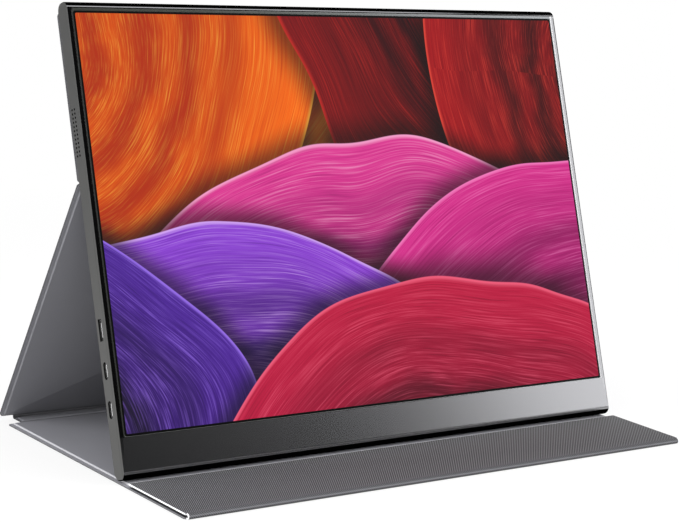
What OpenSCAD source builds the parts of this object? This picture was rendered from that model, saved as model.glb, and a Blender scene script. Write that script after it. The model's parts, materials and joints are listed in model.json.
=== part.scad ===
// Portable monitor standing in its folding cover.
// The base of the cover lies on the table with its front flap folded back on it,
// the strut leans forward from the narrow spine behind, and the monitor hangs
// on the back panel above the middle fold with its foot on the base.
// X is the width, Y runs away from the viewer, Z is up. Lengths are millimetres.

/* [Screen] */
// Width of the lit picture
screen_w = 329.6; // [300:0.1:350]
// Height of the lit picture
screen_h = 218.9; // [205:0.1:240]
// Black border between the picture and the metal rim
border_w = 1.2; // [0.9:0.1:2]
// How far the screen's face lies behind the rim
screen_recess = 0.2; // [0.1:0.05:0.3]
// Margin of the glass cell beyond the picture at the sides and top
cell_margin = 1.6; // [1.4:0.1:1.9]
// Margin of the glass cell below the picture, where its circuits are bonded
cell_foot = 6; // [5:0.1:7]

/* [Monitor case] */
// Thickness of the monitor
case_t = 9.6; // [9.4:0.1:11]
// Thickness of the case walls
wall = 1.1; // [0.9:0.05:1.2]
// Width of the metal rim beside the screen
rim_w = 3.3; // [3.2:0.1:5]
// Height of the metal rim above the screen
top_rim_w = 5.4; // [4.6:0.1:6]
// Height of the metal chin below the screen
chin_h = 21.9; // [20:0.1:26]
// Depth of the front frame, up to the seam with the rear shell
front_t = 2; // [1.8:0.1:2.2]
// Radius of the four outer corners
corner_r = 1; // [0.6:0.1:2]
// Gap at the seam between the front frame and the rear shell
seam_gap = 0.05; // [0.02:0.01:0.1]

/* [Screen layers] */
// Thickness of the front film that shows the picture
film_t = 0.2; // [0.15:0.01:0.25]
// Thickness of the glass cell
cell_t = 1.1; // [0.9:0.05:1.2]
// Thickness of the diffuser and prism films
optics_t = 0.4; // [0.3:0.05:0.5]
// Thickness of the light guide
guide_t = 1.4; // [1.2:0.05:1.5]
// Thickness of the reflector sheet
reflector_t = 0.2; // [0.1:0.05:0.25]
// Thickness of the steel tray
tray_t = 0.3; // [0.2:0.05:0.35]
// Gap between one layer and the next
layer_gap = 0.05; // [0.02:0.01:0.06]
// Height of the light strip's packages
led_h = 1; // [0.8:0.1:1.2]
// Distance from one light to the next
led_pitch = 9; // [7:0.5:14]
// Thickness of the foam tape behind the tray
tape_t = 0.25; // [0.2:0.05:0.3]

/* [Main board and sockets] */
// Thickness of the circuit boards
board_pcb_t = 0.8; // [0.6:0.05:0.9]
// Gap between the boards and the back wall
board_gap = 0.2; // [0.1:0.05:0.25]
// Height of the lower power and video socket above the monitor's foot
usb_low_z = 36.4; // [34:0.1:37]
// Distance between the two power and video sockets
usb_pitch = 20; // [18:0.1:20.5]
// Distance from the upper power and video socket to the flat video socket
hdmi_rise = 21; // [20:0.1:22]
// Length of a power and video socket's mouth
usb_w = 8.94; // [8.5:0.02:9.2]
// Height of a power and video socket's mouth
usb_h = 3.16; // [3:0.02:3.2]
// Length of the flat video socket's mouth
hdmi_w = 11.2; // [10.8:0.05:11.6]
// Height of the flat video socket's mouth
hdmi_h = 3.1; // [3:0.02:3.2]
// Depth of the sockets
socket_depth = 7; // [6:0.1:7.5]
// Wall of the sockets' metal shells
socket_wall = 0.25; // [0.2:0.01:0.3]
// Clearance round a socket in the case wall
socket_gap = 0.12; // [0.1:0.01:0.15]

/* [Headphone socket] */
// Radius of the headphone bore
jack_r = 1.8; // [1.7:0.01:1.9]
// Length of the headphone bore
jack_bore = 12.7; // [12:0.1:13.5]
// Height of the headphone socket above the monitor's foot
jack_z = 10; // [9.6:0.1:10.8]

/* [Buttons] */
// Length of a button
button_l = 9; // [7:0.1:9.5]
// Width of a button
button_w = 2.2; // [1.8:0.1:2.3]
// How far a button stands out of the case
button_proud = 0.5; // [0.42:0.02:0.8]
// How far a button goes in
button_travel = 0.4; // [0.2:0.05:0.4]
// Clearance round a button in its slot
button_gap = 0.15; // [0.1:0.01:0.2]
// Height of the lowest button above the monitor's foot
button_low_z = 60; // [56:0.5:64]
// Distance from one button to the next
button_pitch = 14; // [13:0.1:14.5]

/* [Speakers] */
// Height of the grille's lowest hole above the monitor's foot
grille_low_z = 168; // [166:0.5:175]
// Distance from one grille hole to the next
grille_pitch = 2.2; // [1.8:0.05:2.2]
// Holes in each column of a grille
grille_rows = 12; // [8:1:12]
// Radius of a grille hole
grille_r = 0.5; // [0.3:0.05:0.6]
// Distance between the two columns of a grille
grille_gap = 2.5; // [2.2:0.1:2.6]
// Width of a speaker box
speaker_w = 22; // [18:0.5:26]

/* [Cover] */
// Thickness of the woven outer skin
skin_t = 0.4; // [0.3:0.02:0.5]
// Thickness of the stiffening boards
board_t = 0.7; // [0.5:0.05:0.9]
// Thickness of the smooth lining
lining_t = 0.4; // [0.3:0.02:0.5]
// Width of the pressed border along the free edges
hem_w = 2.6; // [2.2:0.1:4]
// Width of the pressed border along the creases
crease_hem_w = 1.2; // [0.8:0.1:1.8]
// Distance from a panel's edge to its crease line
crease_gap = 0.5; // [0.4:0.05:0.8]
// How far the spine and its creases stop short of the panels' ends
crease_inset = 9; // [7:0.1:11]
// Radius of the corners at the foot of the strut and the top of the back panel
panel_r = 2.5; // [1.5:0.1:4]
// Radius of the corners of the base and the flap, and at the middle fold
fold_r = 1; // [0.8:0.1:1.5]
// Gap between the folded flap and the base
flap_gap = 0.1; // [0.06:0.01:0.3]
// Gap between the back panel and the monitor
back_gap = 0.2; // [0.1:0.05:0.5]

/* [Stand] */
// Angle by which the monitor leans back
tilt = 19; // [17:0.1:20]
// Height of the middle fold above the monitor's foot
fold_h = 154.7; // [152:0.1:160]
// Length of the strut between its two creases
strut_len = 163.3; // [161:0.1:166]
// Width of the spine between its two creases
spine_w = 10.2; // [9:0.1:12]
// Length of the front flap
flap_len = 54.2; // [45:0.1:60]
// Gap between the flap's free edge and the monitor's foot
stop_gap = 4.4; // [3:0.1:8]
// Gap between the monitor's foot and the base
foot_gap = 0.3; // [0.2:0.05:0.5]
// Distance from the monitor's top down to the back panel's free edge
back_drop = 4; // [3:0.5:10]

/* [Magnets and screws] */
// Length of a magnet
magnet_l = 24; // [16:1:30]
// Width of a magnet
magnet_w = 8; // [6:0.5:10]
// Thickness of the magnets inside the monitor
magnet_t = 1.4; // [1:0.1:1.8]
// Distance from one magnet to the next across the monitor
magnet_pitch = 70; // [60:1:70]
// Distance of the lower row of magnets from the middle fold
magnet_low = 16; // [12:1:22]
// Distance of the upper row of magnets from the back panel's free edge
magnet_top = 17.9; // [12:0.1:24]
// Radius of the case screws' shanks
screw_r = 0.95; // [0.8:0.05:1]
// Radius of the case screws' heads
screw_head_r = 1.9; // [1.6:0.1:2]
// Distance of the outer case screws from the monitor's sides
screw_side = 19.3; // [16:0.1:30]
// Height of the case screws above the monitor's foot
screw_z = 8; // [7.6:0.1:8.6]

/* [Hidden] */
$fn = 48;
eps = 0.01;
fit_gap = 0.05;

// Monitor, in its own frame: y 0 is the front face, z 0 the foot
monitor_w = screen_w + 2 * (border_w + rim_w);
monitor_h = chin_h + border_w + screen_h + border_w + top_rim_w;
bull_r = case_t / 2;
picture_z = chin_h + border_w;
inner_w = monitor_w - 2 * wall;
back_y = case_t - wall;
window_w = screen_w + 2 * border_w;

// Screen layers, front to back
film_y = screen_recess;
cell_y = film_y + film_t + layer_gap;
optics_y = cell_y + cell_t + layer_gap;
guide_y = optics_y + optics_t + layer_gap;
reflector_y = guide_y + guide_t + layer_gap;
tray_y = reflector_y + reflector_t + layer_gap;
tray_back = tray_y + tray_t;
cell_low = picture_z - cell_foot;
cell_top = picture_z + screen_h + cell_margin;
cell_w = screen_w + 2 * cell_margin;
tray_margin = 0.4 + tray_t;
tray_w = cell_w + 2 * tray_margin;
pocket_gap = 0.3;
guide_w = screen_w + 0.6;
guide_low = picture_z + 1.5;
guide_top = cell_top - 1.2;
led_low = guide_low - led_h;
led_w = 4;
led_count = floor((guide_w - led_w) / led_pitch) + 1;

// Boards and sockets
pcb_y = back_y - board_gap - board_pcb_t;
port_y = pcb_y - usb_h / 2 - 0.02;
usb_high_z = usb_low_z + usb_pitch;
hdmi_z = usb_high_z + hdmi_rise;
usb_zs = [usb_low_z, usb_high_z];
board_x0 = -inner_w / 2 + 2.2;
board_w = 70;
board_z0 = usb_low_z - 10.4;
board_z1 = hdmi_z + hdmi_w / 2 + 7;
board_screw_r = 0.8;
board_screw_in = 3.2;
chip_x = board_x0 + 36;
chip_z = (board_z0 + board_z1) / 2;
chip_w = 17;
can_w = 27;
can_h = 2.4;
can_wall = 0.2;
socket_mouth = monitor_w / 2 - 0.4;
jack_y = case_t / 2;
jack_body = 5.2;
jack_mouth = monitor_w / 2 - 0.2;

// Buttons
button_zs = [for (i = [0:2]) button_low_z + i * button_pitch];
button_flange_t = 1;
button_flange_x = inner_w / 2 - 0.1 - button_flange_t;
button_stem_l = 1.2;
switch_face_x = button_flange_x - button_stem_l - button_travel - fit_gap;
key_x0 = inner_w / 2 - 14.2;
key_x1 = inner_w / 2 - 1.7;
light_z = button_zs[2] + 11;
light_r = 0.7;
key_z0 = button_low_z - 8;
key_z1 = light_z + 4;

// Speakers
grille_h = (grille_rows - 1) * grille_pitch;
grille_mid_z = grille_low_z + grille_h / 2;
speaker_h = grille_h + 4;
gasket_t = 0.6;
speaker_x = inner_w / 2 - gasket_t;
speaker_y0 = tray_back + 0.25;
speaker_y1 = back_y - 0.1;
speaker_wall = 0.4;
grille_ys = [(speaker_y0 + speaker_y1 - grille_gap) / 2, (speaker_y0 + speaker_y1 + grille_gap) / 2];

// Ribs, leads and ribbons
rib_xs = [-1.5, -0.5, 0.5, 1.5] * magnet_pitch;
rib_w = 1;
rib_z0 = board_z1 + 12;
rib_z1 = monitor_h - 12;
lead_w = 1.6;
lead_t = 0.6;
lead_x = inner_w / 2 - 19;
lead_z = rib_z0 - 5;
ribbon_t = 0.2;
timing_side = 54.8;
timing_w = screen_w - 2 * timing_side;
timing_chip_w = 10;
timing_chip_in = 1.5;
timing_z0 = cell_low + 0.6;
timing_z1 = timing_z0 + 8.4;
timing_y = tray_back + 0.3;
flex_count = 6;
flex_w = 22;
screw_xs = [-1, -1 / 3, 1 / 3, 1] * (monitor_w / 2 - screw_side);

// Cover panels and creases: the stand is drawn from the monitor's foot backwards
panel_t = skin_t + board_t + lining_t;
cover_w = monitor_w;
spine_len_w = cover_w - 2 * crease_inset;
crease_t = skin_t + lining_t;
foot_z = panel_t + foot_gap + bull_r;
flap_free = -bull_r - stop_gap;
flap_axis = flap_free - flap_len;
flap_axis_z = panel_t + flap_gap / 2;
fold_back = case_t + back_gap + panel_t;
fold_dy = (fold_back - bull_r) * cos(tilt) + (fold_h - bull_r) * sin(tilt);
fold_z = foot_z + (fold_h - bull_r) * cos(tilt) - (fold_back - bull_r) * sin(tilt);
strut_reach = sqrt(strut_len * strut_len + panel_t * panel_t);
strut_lean = atan(panel_t / strut_len) + acos((fold_z - panel_t) / strut_reach);
strut_dy = fold_dy - panel_t * cos(strut_lean) + strut_len * sin(strut_lean);
spine_dy = strut_dy - spine_w;
base_len = spine_dy - flap_axis;
back_len = monitor_h - back_drop - fold_h;
// The monitor's foot is placed so that the whole model is centred on Y
foot_y = -(flap_axis - flap_axis_z + strut_dy + panel_t) / 2;
magnet_xs = [-1, 0, 1] * magnet_pitch;
magnet_ys = [magnet_low, back_len - magnet_top];

// ---- Helpers ----

// Extrude an outline of the Y-Z plane along X, centred
module along_x(w) rotate([90, 0, 90]) linear_extrude(w, center = true) children();

// Extrude an outline of the X-Z plane along Y, from y0 to y1
module along_y(y0, y1) translate([0, y1, 0]) rotate([90, 0, 0]) linear_extrude(y1 - y0) children();

// A box between two corners
module block(low, high) translate(low) cube(high - low);

// The same piece at the left and at the right
module both_sides() {
  children();
  mirror([1, 0, 0]) children();
}

// Sheet of width w between two heights, with rounded corners
module rounded_sheet(w, low, high, r) {
  translate([-w / 2 + r, low]) square([w - 2 * r, high - low]);
  translate([-w / 2, low + r]) square([w, high - low - 2 * r]);
  for (x = [-w / 2 + r, w / 2 - r], z = [low + r, high - r]) translate([x, z]) circle(r);
}

// Slot outline with round ends, w long and h high
module slot_outline(w, h) {
  square([h, w - h], center = true);
  for (s = [-1, 1]) translate([0, s * (w - h) / 2]) circle(h / 2);
}

// A slot drawn across Y-Z at a side wall, between two distances from the middle plane
module side_slot(x0, x1, y, z, w, h) {
  translate([(x0 + x1) / 2, y, z]) along_x(x1 - x0) slot_outline(w, h);
}

// Puts a piece drawn in the monitor's own frame where the monitor stands
module on_monitor() {
  translate([0, foot_y, foot_z]) rotate([-tilt, 0, 0]) translate([0, -bull_r, -bull_r]) children();
}

// ---- Monitor case ----

// Side profile: flat front and back with fully round ends
module case_profile(inset) {
  r = bull_r - inset;
  for (z = [bull_r, monitor_h - bull_r]) translate([bull_r, z]) circle(r);
  translate([inset, bull_r]) square([2 * r, monitor_h - 2 * bull_r]);
}

module case_body(inset, y0, y1) {
  intersection() {
    along_x(monitor_w - 2 * inset) case_profile(inset);
    along_y(y0, y1) rounded_sheet(monitor_w - 2 * inset, inset, monitor_h - inset, max(corner_r - inset, 0.3));
  }
}

module grille_holes() {
  for (y = grille_ys, i = [0:grille_rows - 1])
    translate([inner_w / 2 - 1, y, grille_low_z + i * grille_pitch])
      rotate([0, 90, 0]) cylinder(h = wall + 2, r = grille_r);
}

module rear_shell() {
  color("dimgray") on_monitor() {
    difference() {
      case_body(0, front_t + seam_gap, case_t);
      case_body(wall, front_t - 1, case_t);
      both_sides() grille_holes();
      for (z = usb_zs)
        side_slot(-monitor_w / 2 - 1, -inner_w / 2 + 1, port_y, z, usb_w + 2 * socket_gap, usb_h + 2 * socket_gap);
      translate([-monitor_w / 2, port_y, hdmi_z])
        cube([4, hdmi_h + 2 * socket_gap, hdmi_w + 2 * socket_gap], center = true);
      for (z = button_zs)
        side_slot(inner_w / 2 - 1, monitor_w / 2 + 1, port_y, z, button_l + 2 * button_gap, button_w + 2 * button_gap);
      translate([inner_w / 2 - 1, port_y, light_z]) rotate([0, 90, 0]) cylinder(h = wall + 2, r = light_r + fit_gap);
      translate([inner_w / 2 - 1, jack_y, jack_z])
        rotate([0, 90, 0]) cylinder(h = wall + 2, r = jack_body / 2 + socket_gap);
      for (x = screw_xs) translate([x, 0, screw_z]) screw_cut();
      for (p = board_screw_places()) translate([p[0], back_y - 1, p[1]])
        rotate([-90, 0, 0]) cylinder(h = 1 + wall - 0.35, r = board_screw_r + fit_gap);
    }
    for (x = rib_xs)
      block([x - rib_w / 2, tray_back + tape_t, rib_z0], [x + rib_w / 2, back_y + eps, rib_z1]);
  }
}

// Clearance and countersink of a case screw through the back wall
module screw_cut() {
  translate([0, back_y - 1, 0]) rotate([-90, 0, 0]) cylinder(h = wall + 2, r = screw_r + 0.1);
  translate([0, case_t - wall + 0.1, 0]) rotate([-90, 0, 0])
    cylinder(h = wall - 0.1 + eps, r1 = screw_r + 0.1, r2 = screw_head_r + 0.1);
}

module front_frame() {
  color("darkslategray") on_monitor() {
    difference() {
      case_body(0, 0, front_t);
      block([-window_w / 2, -1, chin_h], [window_w / 2, front_t, monitor_h - top_rim_w]);
      block([-tray_w / 2 - pocket_gap, cell_y - layer_gap, cell_low - tray_margin - pocket_gap],
            [tray_w / 2 + pocket_gap, front_t + 1, cell_top + tray_margin + pocket_gap]);
      intersection() {
        case_body(wall, wall, front_t + 1);
        block([-monitor_w / 2, 0, 0], [monitor_w / 2, case_t, cell_low]);
      }
    }
    for (x = screw_xs) translate([x, 0, screw_z]) difference() {
      translate([0, wall - eps, 0]) rotate([-90, 0, 0]) cylinder(h = back_y - wall - fit_gap, r = 2.4);
      translate([0, back_y - 5, 0]) rotate([-90, 0, 0]) cylinder(h = 6, r = screw_r + fit_gap);
    }
  }
}

module case_screws() {
  color("silver") on_monitor() for (x = screw_xs) translate([x, 0, screw_z]) difference() {
    union() {
      translate([0, back_y - 4.5, 0]) rotate([-90, 0, 0]) cylinder(h = 4.5 + wall, r = screw_r);
      translate([0, case_t - wall + 0.2, 0]) rotate([-90, 0, 0])
        cylinder(h = wall - 0.25, r1 = screw_r, r2 = screw_head_r);
    }
    for (a = [0, 90]) translate([0, case_t, 0]) rotate([0, a, 0]) cube([2.2, 0.7, 0.4], center = true);
  }
}

// ---- Screen ----

module border_mask() {
  color("black") on_monitor() along_y(film_y, film_y + film_t) difference() {
    translate([-window_w / 2 + fit_gap, chin_h + fit_gap])
      square([window_w - 2 * fit_gap, screen_h + 2 * border_w - 2 * fit_gap]);
    translate([-screen_w / 2, picture_z]) square([screen_w, screen_h]);
  }
}

module picture_film() {
  color("orangered") on_monitor()
    block([-screen_w / 2, film_y, picture_z], [screen_w / 2, film_y + film_t, picture_z + screen_h]);
}

module lcd_cell() {
  color("lightsteelblue") on_monitor()
    block([-cell_w / 2, cell_y, cell_low], [cell_w / 2, cell_y + cell_t, cell_top]);
}

module optical_films() {
  color("white") on_monitor()
    block([-guide_w / 2, optics_y, guide_low], [guide_w / 2, optics_y + optics_t, guide_top]);
}

module light_guide() {
  color("azure") on_monitor()
    block([-guide_w / 2, guide_y, guide_low], [guide_w / 2, guide_y + guide_t, guide_top]);
}

module leds() {
  color("gold") on_monitor() for (i = [0:led_count - 1])
    translate([(i - (led_count - 1) / 2) * led_pitch - led_w / 2, guide_y, led_low])
      cube([led_w, guide_t, led_h - fit_gap]);
}

module led_strip() {
  color("ivory") on_monitor()
    block([-guide_w / 2, guide_y, led_low - 0.4], [guide_w / 2, guide_y + guide_t, led_low]);
}

module reflector_sheet() {
  color("whitesmoke") on_monitor()
    block([-guide_w / 2, reflector_y, led_low], [guide_w / 2, reflector_y + reflector_t, guide_top]);
}

// Plastic ring that holds the films and carries the glass cell
module panel_frame() {
  color("gainsboro") on_monitor() along_y(optics_y, tray_y - layer_gap) difference() {
    translate([-cell_w / 2, cell_low]) square([cell_w, cell_top - cell_low]);
    translate([-guide_w / 2 - fit_gap, led_low - 0.5])
      square([guide_w + 2 * fit_gap, guide_top - led_low + 0.5 + fit_gap]);
  }
}

module panel_tray() {
  color("darkgray") on_monitor() difference() {
    block([-tray_w / 2, cell_y + 0.5, cell_low - tray_margin], [tray_w / 2, tray_back, cell_top + tray_margin]);
    block([-tray_w / 2 + tray_t, 0, cell_low - tray_margin + tray_t],
          [tray_w / 2 - tray_t, tray_y, cell_top + tray_margin - tray_t]);
    for (i = [0:flex_count - 1]) translate([flex_x(i), cell_y - 1, cell_low - tray_margin - 1])
      cube([flex_w + 1, tray_back - 1, 1.6]);
  }
}

function flex_x(i) = (i - (flex_count - 1) / 2) * (timing_w - flex_w) / (flex_count - 1) - (flex_w + 1) / 2;

// Foils that lead from the cell's lower edge round to the driver board
module cell_flexes() {
  foil = 0.1;
  low = cell_low - tray_margin - 0.6;
  front = cell_y + cell_t - foil - 0.2;
  color("sienna") on_monitor() for (i = [0:flex_count - 1])
    translate([flex_x(i) + (flex_w + 1) / 2, 0, 0]) along_x(flex_w) {
      translate([front, low]) square([foil, cell_low - low]);
      translate([front, low]) square([timing_y + foil - front, foil]);
      translate([timing_y, low]) square([foil, timing_z0 - low]);
    }
}

module timing_board() {
  color("darkgreen") on_monitor() {
    block([-timing_w / 2, timing_y, timing_z0], [timing_w / 2, timing_y + board_pcb_t, timing_z1]);
    for (i = [-1:1]) let (x = i * timing_w * 0.3)
      block([x - timing_chip_w / 2, timing_y + board_pcb_t, timing_z0 + timing_chip_in],
            [x + timing_chip_w / 2, timing_y + board_pcb_t + 0.9, timing_z1 - timing_chip_in]);
  }
}

module panel_tape() {
  color("dimgray") on_monitor() for (x = rib_xs)
    block([x - rib_w / 2 - 0.5, tray_back, rib_z0], [x + rib_w / 2 + 0.5, tray_back + tape_t, rib_z1]);
}

// ---- Electronics ----

function board_screw_places() = [
  for (x = [board_x0 + 11, board_x0 + board_w - board_screw_in], z = [board_z0 + board_screw_in, board_z1 - board_screw_in])
    [x, z]
];

module main_board() {
  color("darkgreen") on_monitor() difference() {
    block([board_x0, pcb_y, board_z0], [board_x0 + board_w, pcb_y + board_pcb_t, board_z1]);
    for (p = board_screw_places()) translate([p[0], pcb_y - 1, p[1]])
      rotate([-90, 0, 0]) cylinder(h = board_pcb_t + 2, r = board_screw_r + 0.2);
  }
}

module board_screws() {
  color("silver") on_monitor() for (p = board_screw_places()) translate([p[0], pcb_y, p[1]]) {
    rotate([90, 0, 0]) cylinder(h = 0.5, r = 1.6);
    translate([0, -eps, 0]) rotate([-90, 0, 0]) cylinder(h = board_pcb_t + board_gap + wall - 0.45, r = board_screw_r);
  }
}

module main_chip() {
  color("black") on_monitor()
    block([chip_x - chip_w / 2, pcb_y - 1.2, chip_z - chip_w / 2], [chip_x + chip_w / 2, pcb_y, chip_z + chip_w / 2]);
}

// Sheet-metal can over the main chip
module shield_can() {
  color("silver") on_monitor() difference() {
    block([chip_x - can_w / 2, pcb_y - can_h, chip_z - can_w / 2], [chip_x + can_w / 2, pcb_y, chip_z + can_w / 2]);
    block([chip_x - can_w / 2 + can_wall, pcb_y - can_h + can_wall, chip_z - can_w / 2 + can_wall],
          [chip_x + can_w / 2 - can_wall, pcb_y + 1, chip_z + can_w / 2 - can_wall]);
  }
}

// Inductors, power chips and connectors on the main board
module board_parts() {
  color("darkslategray") on_monitor() {
    for (z = [board_z0 + 14, board_z0 + 24, board_z1 - 24, board_z1 - 14])
      translate([board_x0 + board_w - 15, pcb_y - 2, z]) cube([6, 2, 6]);
    for (z = usb_zs) translate([board_x0 + 12, pcb_y - 0.8, z - 2]) cube([4, 0.8, 4]);
    translate([board_x0 + 11.5, pcb_y - 0.8, hdmi_z - 2.5]) cube([5, 0.8, 5]);
  }
}

// Flat lead from the main board to the driver board below
module display_ribbon() {
  x = board_x0 + board_w - 22;
  front = timing_y + board_pcb_t;
  color("goldenrod") on_monitor() translate([x, 0, 0]) along_x(14)
    polygon([[front, timing_z0 + 2], [front + 0.3, timing_z0 + 2], [front + 0.3, timing_z1 - 2],
             [pcb_y, board_z0 + 3], [pcb_y, board_z0 + 9], [pcb_y - 0.3, board_z0 + 9],
             [pcb_y - 0.3, board_z0 + 3], [front, timing_z1 - 1.6]]);
}

module key_ribbon() {
  z = key_z0 + 20;
  color("white") on_monitor()
    block([board_x0 + board_w - 7, pcb_y - ribbon_t, z], [key_x0 + 4, pcb_y, z + 5]);
}

// Wire pairs from both speakers to the main board
module speaker_leads() {
  low = grille_mid_z - speaker_h / 2;
  drop_x = board_x0 + board_w - 8;
  color("firebrick") on_monitor() {
    block([-lead_x - lead_w, pcb_y - lead_t, board_z1 - 7], [-lead_x, pcb_y, low]);
    block([lead_x, pcb_y - lead_t, lead_z], [lead_x + lead_w, pcb_y, low]);
    block([drop_x, pcb_y - lead_t, lead_z], [lead_x + eps, pcb_y, lead_z + lead_w]);
    block([drop_x, pcb_y - lead_t, board_z1 - 7], [drop_x + lead_w, pcb_y, lead_z + eps]);
  }
}

// ---- Sockets ----

module usb_c_shells() {
  color("silver") on_monitor() for (z = usb_zs) difference() {
    side_slot(-socket_mouth, -socket_mouth + socket_depth, port_y, z, usb_w, usb_h);
    side_slot(-socket_mouth - 1, -socket_mouth + socket_depth + 1, port_y, z,
              usb_w - 2 * socket_wall, usb_h - 2 * socket_wall);
  }
}

module usb_c_tongues() {
  inside = usb_h - 2 * socket_wall - 2 * fit_gap;
  color("black") on_monitor() for (z = usb_zs) {
    side_slot(-socket_mouth + socket_depth - 1.6, -socket_mouth + socket_depth, port_y, z,
              usb_w - 2 * socket_wall - 2 * fit_gap, inside);
    block([-socket_mouth + 0.9, port_y - 0.35, z - 3.35], [-socket_mouth + socket_depth - 1.5, port_y + 0.35, z + 3.35]);
  }
}

// Outline of the flat video socket: one long side is a little shorter than the other
module hdmi_outline(inset) {
  w = hdmi_w / 2 - inset;
  h = hdmi_h / 2 - inset;
  polygon([[-h, -w], [-h, w], [h * 0.3, w], [h, w - 1.1], [h, -w + 1.1], [h * 0.3, -w]]);
}

module mini_hdmi_shell() {
  color("silver") on_monitor() translate([-socket_mouth + socket_depth / 2, port_y, hdmi_z]) difference() {
    along_x(socket_depth) hdmi_outline(0);
    along_x(socket_depth + 2) hdmi_outline(socket_wall);
  }
}

module mini_hdmi_tongue() {
  color("black") on_monitor() translate([-socket_mouth + socket_depth, port_y, hdmi_z]) {
    translate([-0.8, 0, 0]) along_x(1.6) hdmi_outline(socket_wall + fit_gap);
    translate([-socket_depth + 1, -0.45, -4]) cube([socket_depth - 2.5, 0.7, 8]);
  }
}

module headphone_socket() {
  body_x = inner_w / 2 - fit_gap;
  color("black") on_monitor() difference() {
    union() {
      block([jack_mouth - jack_bore - 1, jack_y - jack_body / 2, jack_z - jack_body / 2],
            [body_x, jack_y + jack_body / 2, jack_z + jack_body / 2]);
      translate([body_x - 1, jack_y, jack_z]) rotate([0, 90, 0]) cylinder(h = jack_mouth - body_x + 1, r = jack_body / 2);
    }
    translate([jack_mouth - jack_bore, jack_y, jack_z]) rotate([0, 90, 0]) cylinder(h = jack_bore + 1, r = jack_r);
  }
}

// ---- Buttons and their board ----

module key_board() {
  color("darkgreen") on_monitor()
    block([key_x0, pcb_y, key_z0], [key_x1, pcb_y + board_pcb_t, key_z1]);
}

module key_switches() {
  color("silver") on_monitor() for (z = button_zs) {
    block([switch_face_x - 4, pcb_y - 2.5, z - 2.2], [switch_face_x - 0.5, pcb_y, z + 2.2]);
    block([switch_face_x - 0.5 - eps, port_y - 0.6, z - 1], [switch_face_x, port_y + 0.6, z + 1]);
  }
}

// Light pipe from the key board's light to the case wall
module status_light() {
  color("white") on_monitor() {
    translate([key_x1 - 1, port_y, light_z]) rotate([0, 90, 0]) cylinder(h = monitor_w / 2 - key_x1 + 1, r = light_r);
    block([key_x1 - 3, port_y - 0.8, light_z - 1], [key_x1 - 0.5, pcb_y, light_z + 1]);
  }
}

module button(z) {
  on_monitor() {
    side_slot(button_flange_x, monitor_w / 2 + button_proud, port_y, z, button_l, button_w);
    side_slot(button_flange_x, button_flange_x + button_flange_t, port_y, z, button_l + 1.4, button_w + 0.8);
    block([button_flange_x - button_stem_l, port_y - 0.6, z - 1.5], [button_flange_x + eps, port_y + 0.6, z + 1.5]);
  }
}

module down_button() color("gray") button(button_zs[0]);
module up_button() color("gray") button(button_zs[1]);
module power_button() color("gray") button(button_zs[2]);

// ---- Speakers ----

module speaker_boxes() {
  low = grille_mid_z - speaker_h / 2;
  color("black") on_monitor() both_sides() difference() {
    block([speaker_x - speaker_w, speaker_y0, low], [speaker_x, speaker_y1, low + speaker_h]);
    block([speaker_x - speaker_w + speaker_wall, speaker_y0 + speaker_wall, low + speaker_wall],
          [speaker_x + 1, speaker_y1 - speaker_wall, low + speaker_h - speaker_wall]);
  }
}

module speaker_cones() {
  x = speaker_x - speaker_w / 2 - 1;
  floor_y = speaker_y1 - speaker_wall;
  color("slategray") on_monitor() both_sides() {
    translate([x, floor_y - 1.4, grille_mid_z]) rotate([-90, 0, 0]) cylinder(h = 1.4, r = 4.5);
    translate([x, 0, grille_mid_z]) along_y(floor_y - 2, floor_y - 1.3) square([14, speaker_h * 0.7], center = true);
  }
}

module speaker_gaskets() {
  color("dimgray") on_monitor() both_sides() difference() {
    block([speaker_x, speaker_y0, grille_mid_z - speaker_h / 2], [inner_w / 2, speaker_y1, grille_mid_z + speaker_h / 2]);
    block([speaker_x - 1, grille_ys[0] - grille_r - 0.05, grille_low_z - 1],
          [inner_w / 2 + 1, grille_ys[1] + grille_r + 0.05, grille_low_z + grille_h + 1]);
  }
}

// ---- Magnets ----

module monitor_magnets() {
  color("silver") on_monitor() for (x = magnet_xs, y = magnet_ys)
    translate([x - magnet_l / 2, back_y - magnet_t, fold_h + y - magnet_w / 2]) cube([magnet_l, magnet_t, magnet_w]);
}

// ---- Cover panels ----
// A panel is drawn flat: y runs from one crease line to the next, z 0 is the
// woven outer face and z panel_t the smooth lining.

module panel_sheet(w, y0, y1, side_in, low_in, high_in, low_r, high_r) {
  half_w = w / 2 - side_in;
  low = y0 + low_in;
  high = y1 - high_in;
  r0 = side_in > 0 ? max(low_r - side_in, 1) : low_r;
  r1 = side_in > 0 ? max(high_r - side_in, 1) : high_r;
  translate([-half_w, low + r0]) square([2 * half_w, high - low - r0 - r1]);
  translate([-half_w + r0, low]) square([2 * (half_w - r0), (high - low) / 2]);
  translate([-half_w + r1, (low + high) / 2]) square([2 * (half_w - r1), (high - low) / 2]);
  for (s = [-1, 1]) {
    translate([s * (half_w - r0), low + r0]) circle(r0);
    translate([s * (half_w - r1), high - r1]) circle(r1);
  }
}

module panel_skin(w, y0, y1, low_r, high_r) linear_extrude(skin_t) panel_sheet(w, y0, y1, 0, 0, 0, low_r, high_r);

module panel_board(w, y0, y1, low_hem, high_hem, low_r, high_r) {
  translate([0, 0, skin_t]) linear_extrude(board_t)
    panel_sheet(w, y0, y1, hem_w + lining_t, low_hem + lining_t, high_hem + lining_t, low_r, high_r);
}

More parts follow.
